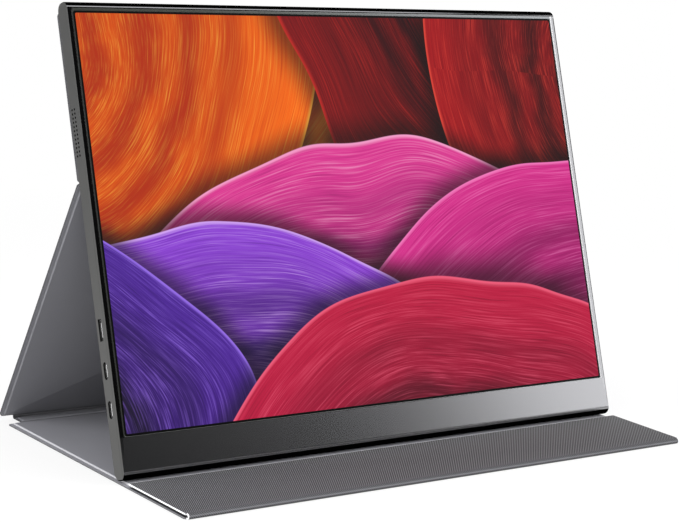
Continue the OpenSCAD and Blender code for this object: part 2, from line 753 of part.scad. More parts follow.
// The lining lies on the board and is pressed down to the skin round it
module panel_lining(w, y0, y1, low_hem, high_hem, low_r, high_r) {
  difference() {
    union() {
      translate([0, 0, skin_t]) linear_extrude(lining_t) panel_sheet(w, y0, y1, 0, 0, 0, low_r, high_r);
      translate([0, 0, skin_t]) linear_extrude(board_t + lining_t)
        panel_sheet(w, y0, y1, hem_w, low_hem, high_hem, low_r, high_r);
    }
    translate([0, 0, skin_t - 1]) linear_extrude(board_t + 1)
      panel_sheet(w, y0, y1, hem_w + lining_t, low_hem + lining_t, high_hem + lining_t, low_r, high_r);
  }
}

module place_base() translate([0, foot_y + flap_axis, 0]) children();
module place_flap() translate([0, foot_y + flap_free, 2 * flap_axis_z]) rotate([180, 0, 0]) children();
module place_spine() translate([0, foot_y + spine_dy, 0]) children();
module place_strut() {
  translate([0, foot_y + strut_dy + panel_t * cos(strut_lean), panel_t + panel_t * sin(strut_lean)])
    rotate([90 + strut_lean, 0, 0]) children();
}
module place_back() on_monitor() translate([0, fold_back, fold_h]) rotate([90, 0, 0]) children();

module base_skin() color("slategray") place_base() panel_skin(cover_w, crease_gap, base_len - crease_gap, fold_r, fold_r);
module base_board() {
  color("tan") place_base() panel_board(cover_w, crease_gap, base_len - crease_gap, crease_hem_w, crease_hem_w, fold_r, fold_r);
}
module base_lining() {
  color("gray") place_base() panel_lining(cover_w, crease_gap, base_len - crease_gap, crease_hem_w, crease_hem_w, fold_r, fold_r);
}

module flap_skin() color("slategray") place_flap() panel_skin(cover_w, 0, flap_len - crease_gap, fold_r, fold_r);
module flap_board() {
  color("tan") place_flap() panel_board(cover_w, 0, flap_len - crease_gap, hem_w, crease_hem_w, fold_r, fold_r);
}
module flap_lining() {
  color("gray") place_flap() panel_lining(cover_w, 0, flap_len - crease_gap, hem_w, crease_hem_w, fold_r, fold_r);
}

// The spine is too narrow for wide borders, so its corners and borders are small
module spine_sheet(inset) {
  rounded_sheet(spine_len_w - 2 * inset, crease_gap + inset, spine_w - crease_gap - inset, 1);
}
module spine_skin() color("slategray") place_spine() linear_extrude(skin_t) spine_sheet(0);
module spine_board() {
  color("tan") place_spine() translate([0, 0, skin_t]) linear_extrude(board_t) spine_sheet(crease_hem_w + lining_t);
}
module spine_lining() {
  color("gray") place_spine() difference() {
    union() {
      translate([0, 0, skin_t]) linear_extrude(lining_t) spine_sheet(0);
      translate([0, 0, skin_t]) linear_extrude(board_t + lining_t) spine_sheet(crease_hem_w);
    }
    translate([0, 0, skin_t - 1]) linear_extrude(board_t + 1) spine_sheet(crease_hem_w + lining_t);
  }
}

module strut_skin() color("slategray") place_strut() panel_skin(cover_w, crease_gap, strut_len - crease_gap, panel_r, fold_r);
module strut_board() {
  color("tan") place_strut() panel_board(cover_w, crease_gap, strut_len - crease_gap, crease_hem_w, crease_hem_w, panel_r, fold_r);
}
module strut_lining() {
  color("gray") place_strut() panel_lining(cover_w, crease_gap, strut_len - crease_gap, crease_hem_w, crease_hem_w, panel_r, fold_r);
}

module back_skin() color("slategray") place_back() panel_skin(cover_w, crease_gap, back_len, fold_r, panel_r);
module back_board() {
  color("tan") place_back() difference() {
    panel_board(cover_w, crease_gap, back_len, crease_hem_w, hem_w, fold_r, panel_r);
    for (x = magnet_xs, y = magnet_ys)
      translate([x - magnet_l / 2 - fit_gap, y - magnet_w / 2 - fit_gap, 0])
        cube([magnet_l + 2 * fit_gap, magnet_w + 2 * fit_gap, panel_t]);
  }
}
module back_lining() {
  color("gray") place_back() panel_lining(cover_w, crease_gap, back_len, crease_hem_w, hem_w, fold_r, panel_r);
}
module back_magnets() {
  color("silver") place_back() for (x = magnet_xs, y = magnet_ys)
    translate([x - magnet_l / 2, y - magnet_w / 2, skin_t]) cube([magnet_l, magnet_w, board_t]);
}

// ---- Creases ----
// A crease is both skins together, bent about its line from angle a0 to a1,
// with a short straight tail at each end.

module crease_outline(r_out, a0, a1) {
  r_in = r_out - crease_t;
  tail = crease_gap - fit_gap;
  reach = 2 * r_out;
  intersection() {
    difference() {
      circle(r_out);
      circle(r_in);
    }
    polygon([[0, 0], for (i = [0:4]) reach * [cos(a0 + (a1 - a0) * i / 4), sin(a0 + (a1 - a0) * i / 4)]]);
  }
  rotate(a0) translate([r_in, -tail]) square([crease_t, tail + eps]);
  rotate(a1) translate([r_in, -eps]) square([crease_t, tail + eps]);
}

module crease(y, z, r_out, a0, a1, inset) {
  translate([0, foot_y + y, z]) along_x(cover_w - 2 * inset) crease_outline(r_out, a0, a1);
}

module fold_crease() color("slategray") crease(fold_dy, fold_z, panel_t, 180 - tilt, 180 + strut_lean, fold_r + 0.1);
module strut_crease() color("slategray") crease(strut_dy, panel_t, panel_t, -90, strut_lean, crease_inset);
module flap_crease() color("slategray") crease(flap_axis, flap_axis_z, flap_axis_z, 90, 270, fold_r + 0.1);
module base_crease() {
  gap = crease_gap - fit_gap;
  color("slategray") translate([0, foot_y + spine_dy, 0])
    block([-spine_len_w / 2, -gap, 0], [spine_len_w / 2, gap, crease_t]);
}

rear_shell();
front_frame();
border_mask();
picture_film();
lcd_cell();
optical_films();
light_guide();
led_strip();
leds();
reflector_sheet();
panel_frame();
panel_tray();
timing_board();
cell_flexes();
panel_tape();
main_board();
main_chip();
board_parts();
shield_can();
display_ribbon();
key_ribbon();
speaker_leads();
mini_hdmi_shell();
mini_hdmi_tongue();
usb_c_shells();
usb_c_tongues();
headphone_socket();
key_board();
key_switches();
status_light();
power_button();
up_button();
down_button();
speaker_boxes();
speaker_cones();
speaker_gaskets();
monitor_magnets();
case_screws();
board_screws();
back_skin();
back_board();
back_lining();
back_magnets();
strut_skin();
strut_board();
strut_lining();
spine_skin();
spine_board();
spine_lining();
base_skin();
base_board();
base_lining();
flap_skin();
flap_board();
flap_lining();
fold_crease();
strut_crease();
base_crease();
flap_crease();
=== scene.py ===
"""Looks of a portable monitor that stands in its folding cover."""

import json
from math import acos, asin, cos, degrees, pi, radians, sin, sqrt

import bmesh
import bpy
from mathutils import Matrix, Vector


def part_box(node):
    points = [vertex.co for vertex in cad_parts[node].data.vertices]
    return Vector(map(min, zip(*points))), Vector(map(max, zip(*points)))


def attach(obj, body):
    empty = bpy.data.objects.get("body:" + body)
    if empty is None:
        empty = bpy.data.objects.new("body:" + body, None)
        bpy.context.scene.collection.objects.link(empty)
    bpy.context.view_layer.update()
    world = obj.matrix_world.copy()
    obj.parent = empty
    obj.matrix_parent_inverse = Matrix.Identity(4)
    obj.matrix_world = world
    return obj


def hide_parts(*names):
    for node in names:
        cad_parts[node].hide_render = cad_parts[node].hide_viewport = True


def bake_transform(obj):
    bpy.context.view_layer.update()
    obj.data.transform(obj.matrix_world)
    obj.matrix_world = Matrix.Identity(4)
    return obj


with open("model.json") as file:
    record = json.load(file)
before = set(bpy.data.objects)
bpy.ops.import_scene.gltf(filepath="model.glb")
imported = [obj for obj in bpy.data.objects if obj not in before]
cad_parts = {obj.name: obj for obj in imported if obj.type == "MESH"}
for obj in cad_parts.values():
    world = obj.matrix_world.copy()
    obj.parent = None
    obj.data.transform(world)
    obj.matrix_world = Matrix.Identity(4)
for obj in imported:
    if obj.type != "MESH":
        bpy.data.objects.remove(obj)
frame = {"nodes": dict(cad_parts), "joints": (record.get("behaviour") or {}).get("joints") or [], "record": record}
NODES = frame["nodes"]
JOINTS = {joint["name"]: joint for joint in frame["joints"]}
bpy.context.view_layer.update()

MM = 0.001

# ---- Sizes, as the solids have them, in metres ----

TILT = radians(19)
CASE_T = 9.6 * MM
ROUND_R = CASE_T / 2
FRONT_T = 2 * MM
CORNER_R = 1 * MM
CHIN_H = 21.9 * MM
TOP_RIM_W = 5.4 * MM
BORDER_W = 1.2 * MM
RIM_W = 3.3 * MM
SCREEN_W = 329.6 * MM
SCREEN_H = 218.9 * MM
MONITOR_W = SCREEN_W + 2 * (BORDER_W + RIM_W)
MONITOR_H = CHIN_H + SCREEN_H + 2 * BORDER_W + TOP_RIM_W
SIDE_X = MONITOR_W / 2
PICTURE_Z = CHIN_H + BORDER_W
WINDOW_X = SCREEN_W / 2 + BORDER_W
WINDOW_TOP = MONITOR_H - TOP_RIM_W

SKIN_T = 0.4 * MM
LINING_T = 0.4 * MM
BONDED_T = SKIN_T + LINING_T
PANEL_T = 1.5 * MM
HEM_W = 2.6 * MM
CREASE_HEM_W = 1.2 * MM
CREASE_GAP = 0.5 * MM
CREASE_INSET = 9 * MM
PANEL_R = 2.5 * MM
FOLD_R = 1 * MM
FLAP_LEN = 54.2 * MM
BACK_LEN = 89.9 * MM

FOOT_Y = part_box("front_frame")[0].y + ROUND_R
FOOT_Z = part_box("rear_shell")[0].z + ROUND_R
FLAP_AXIS = Vector(JOINTS["flap_fold"]["pos_m"])
BASE_AXIS = Vector(JOINTS["base_crease_turn"]["pos_m"])
STRUT_AXIS = Vector(JOINTS["stand_fold"]["pos_m"])
FOLD_AXIS = Vector(JOINTS["middle_fold"]["pos_m"])


def on_monitor(x, y, z):
    """A point of the monitor's own frame (y 0 its face, z 0 its foot) where the monitor stands."""
    back, up = y - ROUND_R, z - ROUND_R
    return Vector((x,
                   FOOT_Y + back * cos(TILT) + up * sin(TILT),
                   FOOT_Z - back * sin(TILT) + up * cos(TILT)))


# ---- Shader maths ----

# Sockets of a Mix node that mixes colours
MIX_A, MIX_B, MIX_RESULT = 6, 7, 2


class Num:
    """A number that varies over a surface; Python's operators add Math nodes to it."""

    def __init__(self, finish, socket):
        self.finish, self.socket = finish, socket

    def math(self, operation, *values):
        node = self.finish.add("ShaderNodeMath", {"operation": operation}, dict(enumerate(values)))
        return Num(self.finish, node.outputs[0])

    def __add__(self, other):
        return self.math("ADD", self, other)

    def __radd__(self, other):
        return self.math("ADD", other, self)

    def __sub__(self, other):
        return self.math("SUBTRACT", self, other)

    def __rsub__(self, other):
        return self.math("SUBTRACT", other, self)

    def __mul__(self, other):
        return self.math("MULTIPLY", self, other)

    def __rmul__(self, other):
        return self.math("MULTIPLY", other, self)

    def __truediv__(self, other):
        return self.math("DIVIDE", self, other)

    def __pow__(self, other):
        return self.math("POWER", self, other)

    def __abs__(self):
        return self.math("ABSOLUTE", self)

    def sin(self):
        return self.math("SINE", self)

    def sqrt(self):
        return self.math("SQRT", self)

    def angle(self, across):
        return self.math("ARCTAN2", self, across)

    def most(self, other):
        return self.math("MAXIMUM", self, other)

    def least(self, other):
        return self.math("MINIMUM", self, other)

    def to_nearest(self, pitch):
        """How far it is from the nearest whole number of pitches."""
        return self.math("PINGPONG", self, pitch / 2)

    def step(self, low, high):
        """0 below low and 1 above high, smooth between them."""
        node = self.finish.add("ShaderNodeMapRange", {"interpolation_type": "SMOOTHSTEP"},
                               {"Value": self, "From Min": low, "From Max": high})
        return Num(self.finish, node.outputs["Result"])

    def band(self, start, full, fade, end):
        """1 between full and fade, 0 outside start and end, smooth between them."""
        return self.step(start, full) * (1 - self.step(fade, end))


class Finish:
    """A material, or the world: constants on its shader's own sockets, the rest through nodes."""

    def __init__(self, name, constants, world=None):
        self.holder = world or bpy.data.materials.new(name)
        self.holder.use_nodes = True
        self.tree = self.holder.node_tree
        self.shader = self.tree.nodes["Background" if world else "Principled BSDF"]
        for socket, value in constants.items():
            self.feed(self.shader.inputs[socket], value)

    def feed(self, socket, value):
        if isinstance(value, Num):
            value = value.socket
        if isinstance(value, bpy.types.NodeSocket):
            self.tree.links.new(value, socket)
        else:
            socket.default_value = value

    def add(self, kind, settings=None, inputs=None):
        """A node of any type, with its settings first and then its sockets."""
        node = self.tree.nodes.new(kind)
        for setting, value in (settings or {}).items():
            setattr(node, setting, value)
        for socket, value in (inputs or {}).items():
            self.feed(node.inputs[socket], value)
        return node

    def set(self, **links):
        """Feeds what varies to the shader, and gives the material."""
        for socket, value in links.items():
            self.feed(self.shader.inputs[socket.replace("_", " ")], value)
        return self.holder

    def place(self, space="Object"):
        """The point's X, Y and Z; in a piece's own space they are metres and stay with it when it moves."""
        point = self.add("ShaderNodeTexCoord").outputs[space]
        split = self.add("ShaderNodeSeparateXYZ", None, {"Vector": point})
        return [Num(self, split.outputs[axis]) for axis in "XYZ"]

    def monitor_place(self):
        """The point in the monitor's own frame."""
        x, y, z = self.place()
        back, up = y - FOOT_Y, z - FOOT_Z
        return (x,
                back * cos(TILT) - up * sin(TILT) + ROUND_R,
                back * sin(TILT) + up * cos(TILT) + ROUND_R)

    def rays(self):
        """1 for a ray from the camera, for one off a mirror and for one through glass."""
        path = self.add("ShaderNodeLightPath").outputs
        return [Num(self, path[kind]) for kind in ("Is Camera Ray", "Is Glossy Ray", "Is Transmission Ray")]

    def noise(self, x, y, z, detail=2.0, rough=0.5):
        point = self.add("ShaderNodeCombineXYZ", None, {"X": x, "Y": y, "Z": z}).outputs[0]
        node = self.add("ShaderNodeTexNoise", None,
                        {"Vector": point, "Scale": 1.0, "Detail": detail, "Roughness": rough})
        return Num(self, node.outputs[0])

    def grain(self, place, per_mm, detail=3.0, rough=0.5):
        """Fine noise, counted in grains to the millimetre."""
        return self.noise(*(axis / MM * per_mm for axis in place), detail, rough)

    def cloud(self, place, per_metre):
        """Slow noise, counted in clouds to the metre."""
        return self.noise(*(axis * per_metre for axis in place))

    def mix(self, factor, a, b):
        node = self.add("ShaderNodeMix", {"data_type": "RGBA"}, {"Factor": factor, MIX_A: a, MIX_B: b})
        return node.outputs[MIX_RESULT]

    def bump(self, height, distance, strength=1.0):
        inputs = {"Height": height, "Distance": distance, "Strength": strength}
        return self.add("ShaderNodeBump", None, inputs).outputs["Normal"]


def tone(code):
    """A colour written as six hex digits, as light."""
    parts = [int(code[i:i + 2], 16) / 255 for i in (0, 2, 4)]
    return tuple(c / 12.92 if c <= 0.04045 else ((c + 0.055) / 1.055) ** 2.4 for c in parts) + (1.0,)


# ---- Finishes of the monitor ----

# The lip that slopes from the flat face down to the window
LIP_W = 0.9 * MM
TOP_LIP_W = 1.4 * MM

# Painted shade round the grille's holes, as dark rims: its front column, the columns' and the holes' spacing, its
# lowest and highest hole, how far from a hole's middle its rim goes, and where the grille ends in height and
# towards the face
GRILLE_Y = 5.09 * MM
GRILLE_GAP = 2.5 * MM
GRILLE_PITCH = 2.2 * MM
GRILLE_LOW = 168 * MM
GRILLE_HIGH = 192.2 * MM
GRILLE_SHADE_REACH = (0.62 * MM, 0.68 * MM)
GRILLE_Z = (GRILLE_LOW - 1.1 * MM, GRILLE_LOW - MM, GRILLE_HIGH + MM, GRILLE_HIGH + 1.1 * MM)
GRILLE_FRONT = (4 * MM, 4.1 * MM)

# Borders between the metal's finishes and its painted shade, highlights and dark band, each from where one starts
# to where it is full, in the monitor's own frame; the painted dark band below the top or a grille has a second
# pair, where it fades and where it ends
BORE_SHADE_X = (SIDE_X - 0.12 * MM, SIDE_X - 0.04 * MM)
BACK_WALL_Y = (8.3 * MM, 8.5 * MM)
FLANK_X = (SIDE_X - 0.5 * MM, SIDE_X - 0.3 * MM)
FRONT_FLANK_X = (SIDE_X - 0.12 * MM, SIDE_X - 0.06 * MM)
MOUTH_SHADE_X = (SIDE_X - 0.9 * MM, SIDE_X - 0.6 * MM)
PAINT_FROM_MIDDLE = (MONITOR_H / 2 - 2.6 * MM, MONITOR_H / 2 - 2.4 * MM)
FOOT_PAINT_Z = (2.7 * MM, 2.9 * MM)
BEVEL_Z = (2.8 * MM, 4.4 * MM)
CHIN_Z = (CHIN_H - 0.5 * MM, CHIN_H - 0.4 * MM)
LIP_X = (WINDOW_X + LIP_W - 0.05 * MM, WINDOW_X + LIP_W)
LIP_LOW_Z = (CHIN_H - 0.4 * MM, CHIN_H)
LIP_HIGH_Z = (WINDOW_TOP + TOP_LIP_W - 0.05 * MM, WINDOW_TOP + TOP_LIP_W)
LEFT_LIP_X = (-WINDOW_X - 0.05 * MM, -WINDOW_X + 0.05 * MM)
RIGHT_LIP_X = (WINDOW_X - 0.05 * MM, WINDOW_X + 0.05 * MM)
DARK_BAND_Z = (MONITOR_H - 4.05 * MM, MONITOR_H - 3.95 * MM, MONITOR_H - 3.6 * MM, MONITOR_H - 3.4 * MM)
CREST_Z = (MONITOR_H - 2.95 * MM, MONITOR_H - 2.75 * MM)

BLAST_GRAIN = 7
BEVEL_SHARE = 0.45
LIP_SHADE_X = (-0.12, 0.18)
POLISHED = "c8c8ca"
CONTACT_PITCH = 0.5 * MM


def blasted_metal(f, z, grain):
    """Dark aluminium with painted shade that makes it a little darker towards the monitor's top."""
    # painted shade: the tone darkens towards the monitor's top
    return f.mix(z.step(0.0, MONITOR_H) * 0.5, f.mix(grain, tone("5b5b5a"), tone("656564")), tone("303030"))


def satin_metal():
    """Blasted dark aluminium of the sides and back: black round edges, and painted shade in the bores and on the
    grille's rims.
    """
    f = Finish("satin metal", {"Metallic": 1.0, "Specular IOR Level": 0.0})
    place = f.monitor_place()
    x, y, z = place
    grain = f.grain(place, BLAST_GRAIN)
    wear = f.cloud(place, 30)
    flank = abs(x).step(*FLANK_X)
    edge = abs(z - MONITOR_H / 2).step(*PAINT_FROM_MIDDLE) * (1 - flank)
    # painted shade on the walls of the bores behind the flank
    bore_shade = (1 - abs(x).step(*BORE_SHADE_X)) * (1 - y.step(*BACK_WALL_Y))
    # painted shade round each of the grille's holes, as a dark rim
    across, rise = (y - GRILLE_Y).to_nearest(GRILLE_GAP), (z - GRILLE_LOW).to_nearest(GRILLE_PITCH)
    rim = 1 - (across * across + rise * rise).sqrt().step(*GRILLE_SHADE_REACH)
    rim = rim * z.band(*GRILLE_Z) * y.step(*GRILLE_FRONT)
    # black: the painted round edges together with the painted shade of the bores and the grille
    black = edge.most(bore_shade.most(rim))
    metal = blasted_metal(f, z, wear)
    return f.set(Base_Color=f.mix(black, metal, tone("030303")), Metallic=1 - black,
                 Roughness=0.36 + 0.08 * grain, Normal=f.bump(grain, 0.01 * MM, 0.5))


def front_metal():
    """Front frame: satin chin and lip, polished rim, black round edges, and the case's grey at its sides; painted
    shade on the lip to the left, a painted highlight on it to the right, and a painted dark reflection in a band
    below the top edge.
    """
    f = Finish("front metal", {"Specular IOR Level": 0.0})
    place = f.monitor_place()
    x, y, z = place
    chin = 1 - z.step(*CHIN_Z)
    lip = (1 - abs(x).step(*LIP_X)) * z.step(*LIP_LOW_Z) * (1 - z.step(*LIP_HIGH_Z))
    # painted shade on the lip's left side, painted highlight on its right side
    left_lip_shade = lip * (1 - x.step(*LEFT_LIP_X))
    right_lip_highlight = lip * x.step(*RIGHT_LIP_X)
    flank = abs(x).step(*FRONT_FLANK_X)
    foot = 1 - z.step(*FOOT_PAINT_Z)
    crest = z.step(*CREST_Z)
    # painted dark reflection: a dark band on the flat rim just below the top edge
    dark_band_reflection = z.band(*DARK_BAND_Z)
    bevel = 1 - z.step(*BEVEL_Z)
    black = foot.most(crest) * (1 - flank)
    brushed = f.noise(x / MM * 0.15, y / MM, z / MM * 6, 3.0)
    blasted = f.grain(place, BLAST_GRAIN)
    metal = f.mix(brushed, tone("606062"), tone("6a6a6c"))
    metal = f.mix(chin, metal, f.mix(brushed, tone("6e6e70"), tone("747476")))
    metal = f.mix(bevel * BEVEL_SHARE, metal, tone(POLISHED))
    # the lip's tone runs from painted shade at the left to a painted highlight at the right
    metal = f.mix(lip, metal, f.mix(x.step(*LIP_SHADE_X), tone("464844"), tone("707274")))
    metal = f.mix(dark_band_reflection, metal, tone("161616"))
    metal = f.mix(left_lip_shade, metal, tone("242524"))
    metal = f.mix(right_lip_highlight, metal, tone(POLISHED))
    metal = f.mix(flank, metal, blasted_metal(f, z, blasted))
    satin = chin * 0.13 + lip * 0.3 + flank * 0.25
    # less metallic on the lip's right, as part of its painted highlight
    return f.set(Base_Color=f.mix(black, metal, tone("020202")), Metallic=(1 - black) * (1 - 0.7 * right_lip_highlight),
                 Roughness=0.1 + satin, Normal=f.bump(blasted * flank, 0.004 * MM, 0.4))


def button_metal():
    """Side buttons, a little brighter than the case round them."""
    f = Finish("button metal", {"Metallic": 1.0})
    grain = f.grain(f.place(), 8)
    return f.set(Base_Color=f.mix(grain, tone("58585a"), tone("707072")), Roughness=0.3 + 0.08 * grain)


def gloss_black():
    """Black print round the picture."""
    f = Finish("gloss black", {"Specular IOR Level": 0.05})
    cloud = f.cloud(f.place(), 400)
    return f.set(Base_Color=f.mix(cloud, tone("020202"), tone("050505")), Roughness=0.45 + 0.1 * cloud)


FANS = [
    # across, rise, radius, dark, middle and light tones
    (0.05, 0.87, 0.76, "e05a00", "ff9c10", "ffe070"),
    (-0.15, 0.65, 0.59, "b02c04", "fa6a08", "ffc048"),
    (1.02, 0.87, 0.69, "240208", "78080f", "cc2820"),
    (1.22, 0.57, 0.53, "40040a", "a00c16", "f44c3a"),
    (0.52, -0.24, 0.69, "6c0850", "dc3490", "ffb4dc"),
    (0.98, -0.27, 0.67, "7c0a50", "d42888", "ff88cc"),
    (0.20, -0.35, 0.67, "300a60", "8c40d4", "e4b8ff"),
    (-0.22, -0.13, 0.48, "120428", "4a1e94", "a87cff"),
    (0.66, -0.41, 0.62, "50061c", "bc123e", "ff6888"),
]
# Shares of the screen's width
SWAY = 0.16
SHADE_W = 0.22
SHADOW_W = 0.05
EDGE_W = 0.008
OUTLINE_W = 0.001
# Over the screen's width: cells of the threads' noise, and radians of the pleats' wave
THREADS = 420.0
PLEATS = 75.0


def picture():
    """A lit abstract of overlapping silk fans, in warm reds, oranges, pinks and violets."""
    f = Finish("picture", {"Base Color": (0.01, 0.01, 0.01, 1.0), "Roughness": 0.5,
                           "Specular IOR Level": 0.0, "Emission Strength": 1.0})
    x, _, z = f.monitor_place()
    across, rise = x / SCREEN_W + 0.5, (z - PICTURE_Z) / SCREEN_W
    sway = f.noise(across * 2.2, rise * 2.2, 0.0, 1.0) * SWAY - SWAY / 2
    colour = f.mix(rise, tone("5a0610"), tone("c42408"))
    for index, (px, pz, radius, dark, middle, light) in enumerate(FANS):
        dx, dz = across - px + sway, rise - pz + sway
        reach = (dx * dx + dz * dz).sqrt()
        inside = radius - reach
        turn = dz.angle(dx)
        thread = f.noise(reach * THREADS, turn * 4.0, index * 7.0, 3.0, 0.6)
        bend = f.noise(reach * 6.0, turn * 2.5, index * 3.0)
        pleat = (reach * PLEATS + bend * 6.0).sin() * 0.5 + 0.5
        fan = f.mix(inside.step(0.0, SHADE_W), tone(middle), tone(dark))
        fan = f.mix(pleat * (0.25 + 0.75 * bend) * 0.7, fan, tone(middle))
        fan = f.mix(thread.step(0.45, 0.8) * 0.55 * (0.4 + 0.6 * pleat), fan, tone(light))
        fan = f.mix((1 - thread.step(0.25, 0.5)) * 0.45, fan, tone(dark))
        fan = f.mix((1 - inside.step(0.0, EDGE_W)) * 0.75, fan, tone(light))
        shadow = inside.step(-SHADOW_W, 0.0) * 0.75
        shaded = f.mix(shadow, colour, tone("080204"))
        colour = f.mix(inside.step(-OUTLINE_W, OUTLINE_W), shaded, fan)
    return f.set(Emission_Color=colour)


def contact_tin():
    """Plated contacts side by side on a socket's tongue, in pale moulding."""
    f = Finish("contact tin", {"Roughness": 0.25})
    _, _, z = f.monitor_place()
    plated = (z * (2 * pi / CONTACT_PITCH)).sin().step(-0.4, 0.2)
    return f.set(Base_Color=f.mix(plated, tone("b8b8b8"), tone("ececec")), Metallic=plated)


def socket_steel():
    """Plated shells of the sockets, with painted shade that darkens their rims in the mouths."""
    f = Finish("socket steel", {"Roughness": 0.25})
    place = f.monitor_place()
    # painted shade in the sockets' mouths
    mouth_shade = abs(place[0]).step(*MOUTH_SHADE_X)
    plated = f.mix(f.grain(place, 3), tone("a8a8a8"), tone("bababa"))
    return f.set(Base_Color=f.mix(mouth_shade, plated, tone("1a1a1a")), Metallic=1 - 0.6 * mouth_shade)


def speckled(name, dark, light, scale, constants):
    """A plain finish with a little variation: grain per millimetre, between two tones."""
    f = Finish(name, constants)
    grain = f.grain(f.place(), scale)
    return f.set(Base_Color=f.mix(grain, tone(dark), tone(light)), Normal=f.bump(grain, 0.01 * MM, 0.4))


def circuit_green():
    """Solder mask with copper tracks under it."""
    f = Finish("circuit green", {"Roughness": 0.35})
    x, _, z = f.monitor_place()
    wander = f.noise(x * 90, 0.0, z * 90) * 6.0
    tracks = (x / MM * 3.1).sin() * (z / MM * 2.3 + wander).sin()
    return f.set(Base_Color=f.mix(tracks.step(0.1, 0.3), tone("0c3a1c"), tone("1c5a2c")))


def ribbed_foil():
    """Amber foil with its printed conductors."""
    f = Finish("amber foil", {"Roughness": 0.3})
    x, _, _ = f.monitor_place()
    lines = (x / MM * 9.0).sin()
    return f.set(Base_Color=f.mix(lines.step(0.0, 0.4), tone("8a4a10"), tone("c07a28")))


def slot_finishes():
    """The finish of each material slot whose solids show as they are, and of the film and its border."""
    metal, plain = {"Metallic": 1.0, "Roughness": 0.3}, {"Roughness": 0.5}
    return {
        "case_metal": satin_metal(),
        "button_metal": button_metal(),
        "border_black": gloss_black(),
        "picture": picture(),
        "cell_glass": speckled("cell glass", "20262c", "2a3238", 0.3, {"Roughness": 0.1}),
        "optics": speckled("milky film", "e4e4e4", "efefef", 0.5, plain),
        "acrylic": speckled("acrylic", "dfe8ec", "eef4f6", 0.5, {"Roughness": 0.15}),
        "white_board": speckled("white board", "d8d8d2", "e8e8e2", 1.0, plain),
        "led_yellow": speckled("phosphor", "e8c848", "f4dc70", 2.0, plain),
        "frame_plastic": speckled("black moulding", "121213", "1a1a1b", 2.0, plain),
        "steel": speckled("plated steel", "9a9a9a", "b0b0b0", 1.0, metal),
        "circuit_board": circuit_green(),
        "amber_foil": ribbed_foil(),
        "foam": speckled("foam", "141414", "262626", 4.0, {"Roughness": 0.95}),
        "chip_black": speckled("chip black", "0c0c0c", "161616", 3.0, plain),
        "wire_red": speckled("wire", "7a0c08", "9a140e", 2.0, plain),
        "socket_steel": socket_steel(),
        "socket_black": speckled("socket black", "0a0a0a", "141414", 3.0, plain),
        "magnet": speckled("nickel", "a8a8aa", "b8b8ba", 1.0, metal),
        "screw_steel": speckled("black screw", "303032", "3c3c3e", 4.0, metal),
        "stiffener": speckled("fibre board", "8a7a62", "a08e74", 3.0, {"Roughness": 0.9}),
    }


# ---- Finishes of the cover ----

DOT_ACROSS = 1.28 * MM
DOT_ALONG = 1.43 * MM
# Grains to the millimetre, detail and roughness of the noise
FUZZ = (3, 3.0, 0.6)
LEATHER = (2.5, 4.0, 0.6)
DULL_EDGE = "4a4a4d"
# The base's edge tone, lighter than the dull edge
LIGHT_GREY_EDGE = "6a6a6d"
# Painted highlight along the flap's edges and the ends of its fold
HIGHLIGHT_EDGE_TONE = "ececee"
PLAIN_LINING = ("707075", "76767b")
LIT_LINING = ("84848a", "8a8a90")

# The painted highlight on the pressed ridge beside a panel's side hem, and the painted shade on the hem under the
# folded flap, from the panel's side
RIDGE = (HEM_W - 0.6 * MM, HEM_W - 0.1 * MM, HEM_W + 0.1 * MM, HEM_W + 0.7 * MM)
UNDER_FLAP_SHADE = (0.4 * MM, 0.8 * MM, HEM_W - 0.2 * MM, HEM_W)

# Heights over the table of the painted highlight on a crease's shoulder and of the painted shade on its underside
SHOULDER_HIGHLIGHT_Z = (1.4 * MM, 1.7 * MM, 2.1 * MM, 2.5 * MM)
UNDERSIDE_SHADE_Z = (0.4 * MM, 0.8 * MM)


class Shows:
    """How a panel's cloth looks.

    plain: the lining's two tones; edge: the tone of its edge; ridge_highlight: how strong the painted
    highlight on the ridge by its side hems is; tucked: how dark the painted shade on its side
    hems under the folded flap is; stretched: how smooth the weave is at the front fold, and
    how strong the painted highlight there is; edge_highlight: how strong the painted highlight on the
    weave's edge is.
    """

    def __init__(self, plain=PLAIN_LINING, edge=DULL_EDGE, ridge_highlight=0.08, tucked=0.0, stretched=0.0,
                 edge_highlight=0.0):
        self.plain, self.edge, self.ridge_highlight = plain, edge, ridge_highlight
        self.tucked, self.stretched, self.edge_highlight = tucked, stretched, edge_highlight


def weave_dots(across, along):
    """The weave's dots, in slanting rows."""
    lean, run = across * (pi / DOT_ACROSS), along * (pi / DOT_ALONG)
    return (lean + run).sin() ** 6 * (0.7 + 0.3 * (lean - run).sin() ** 2)


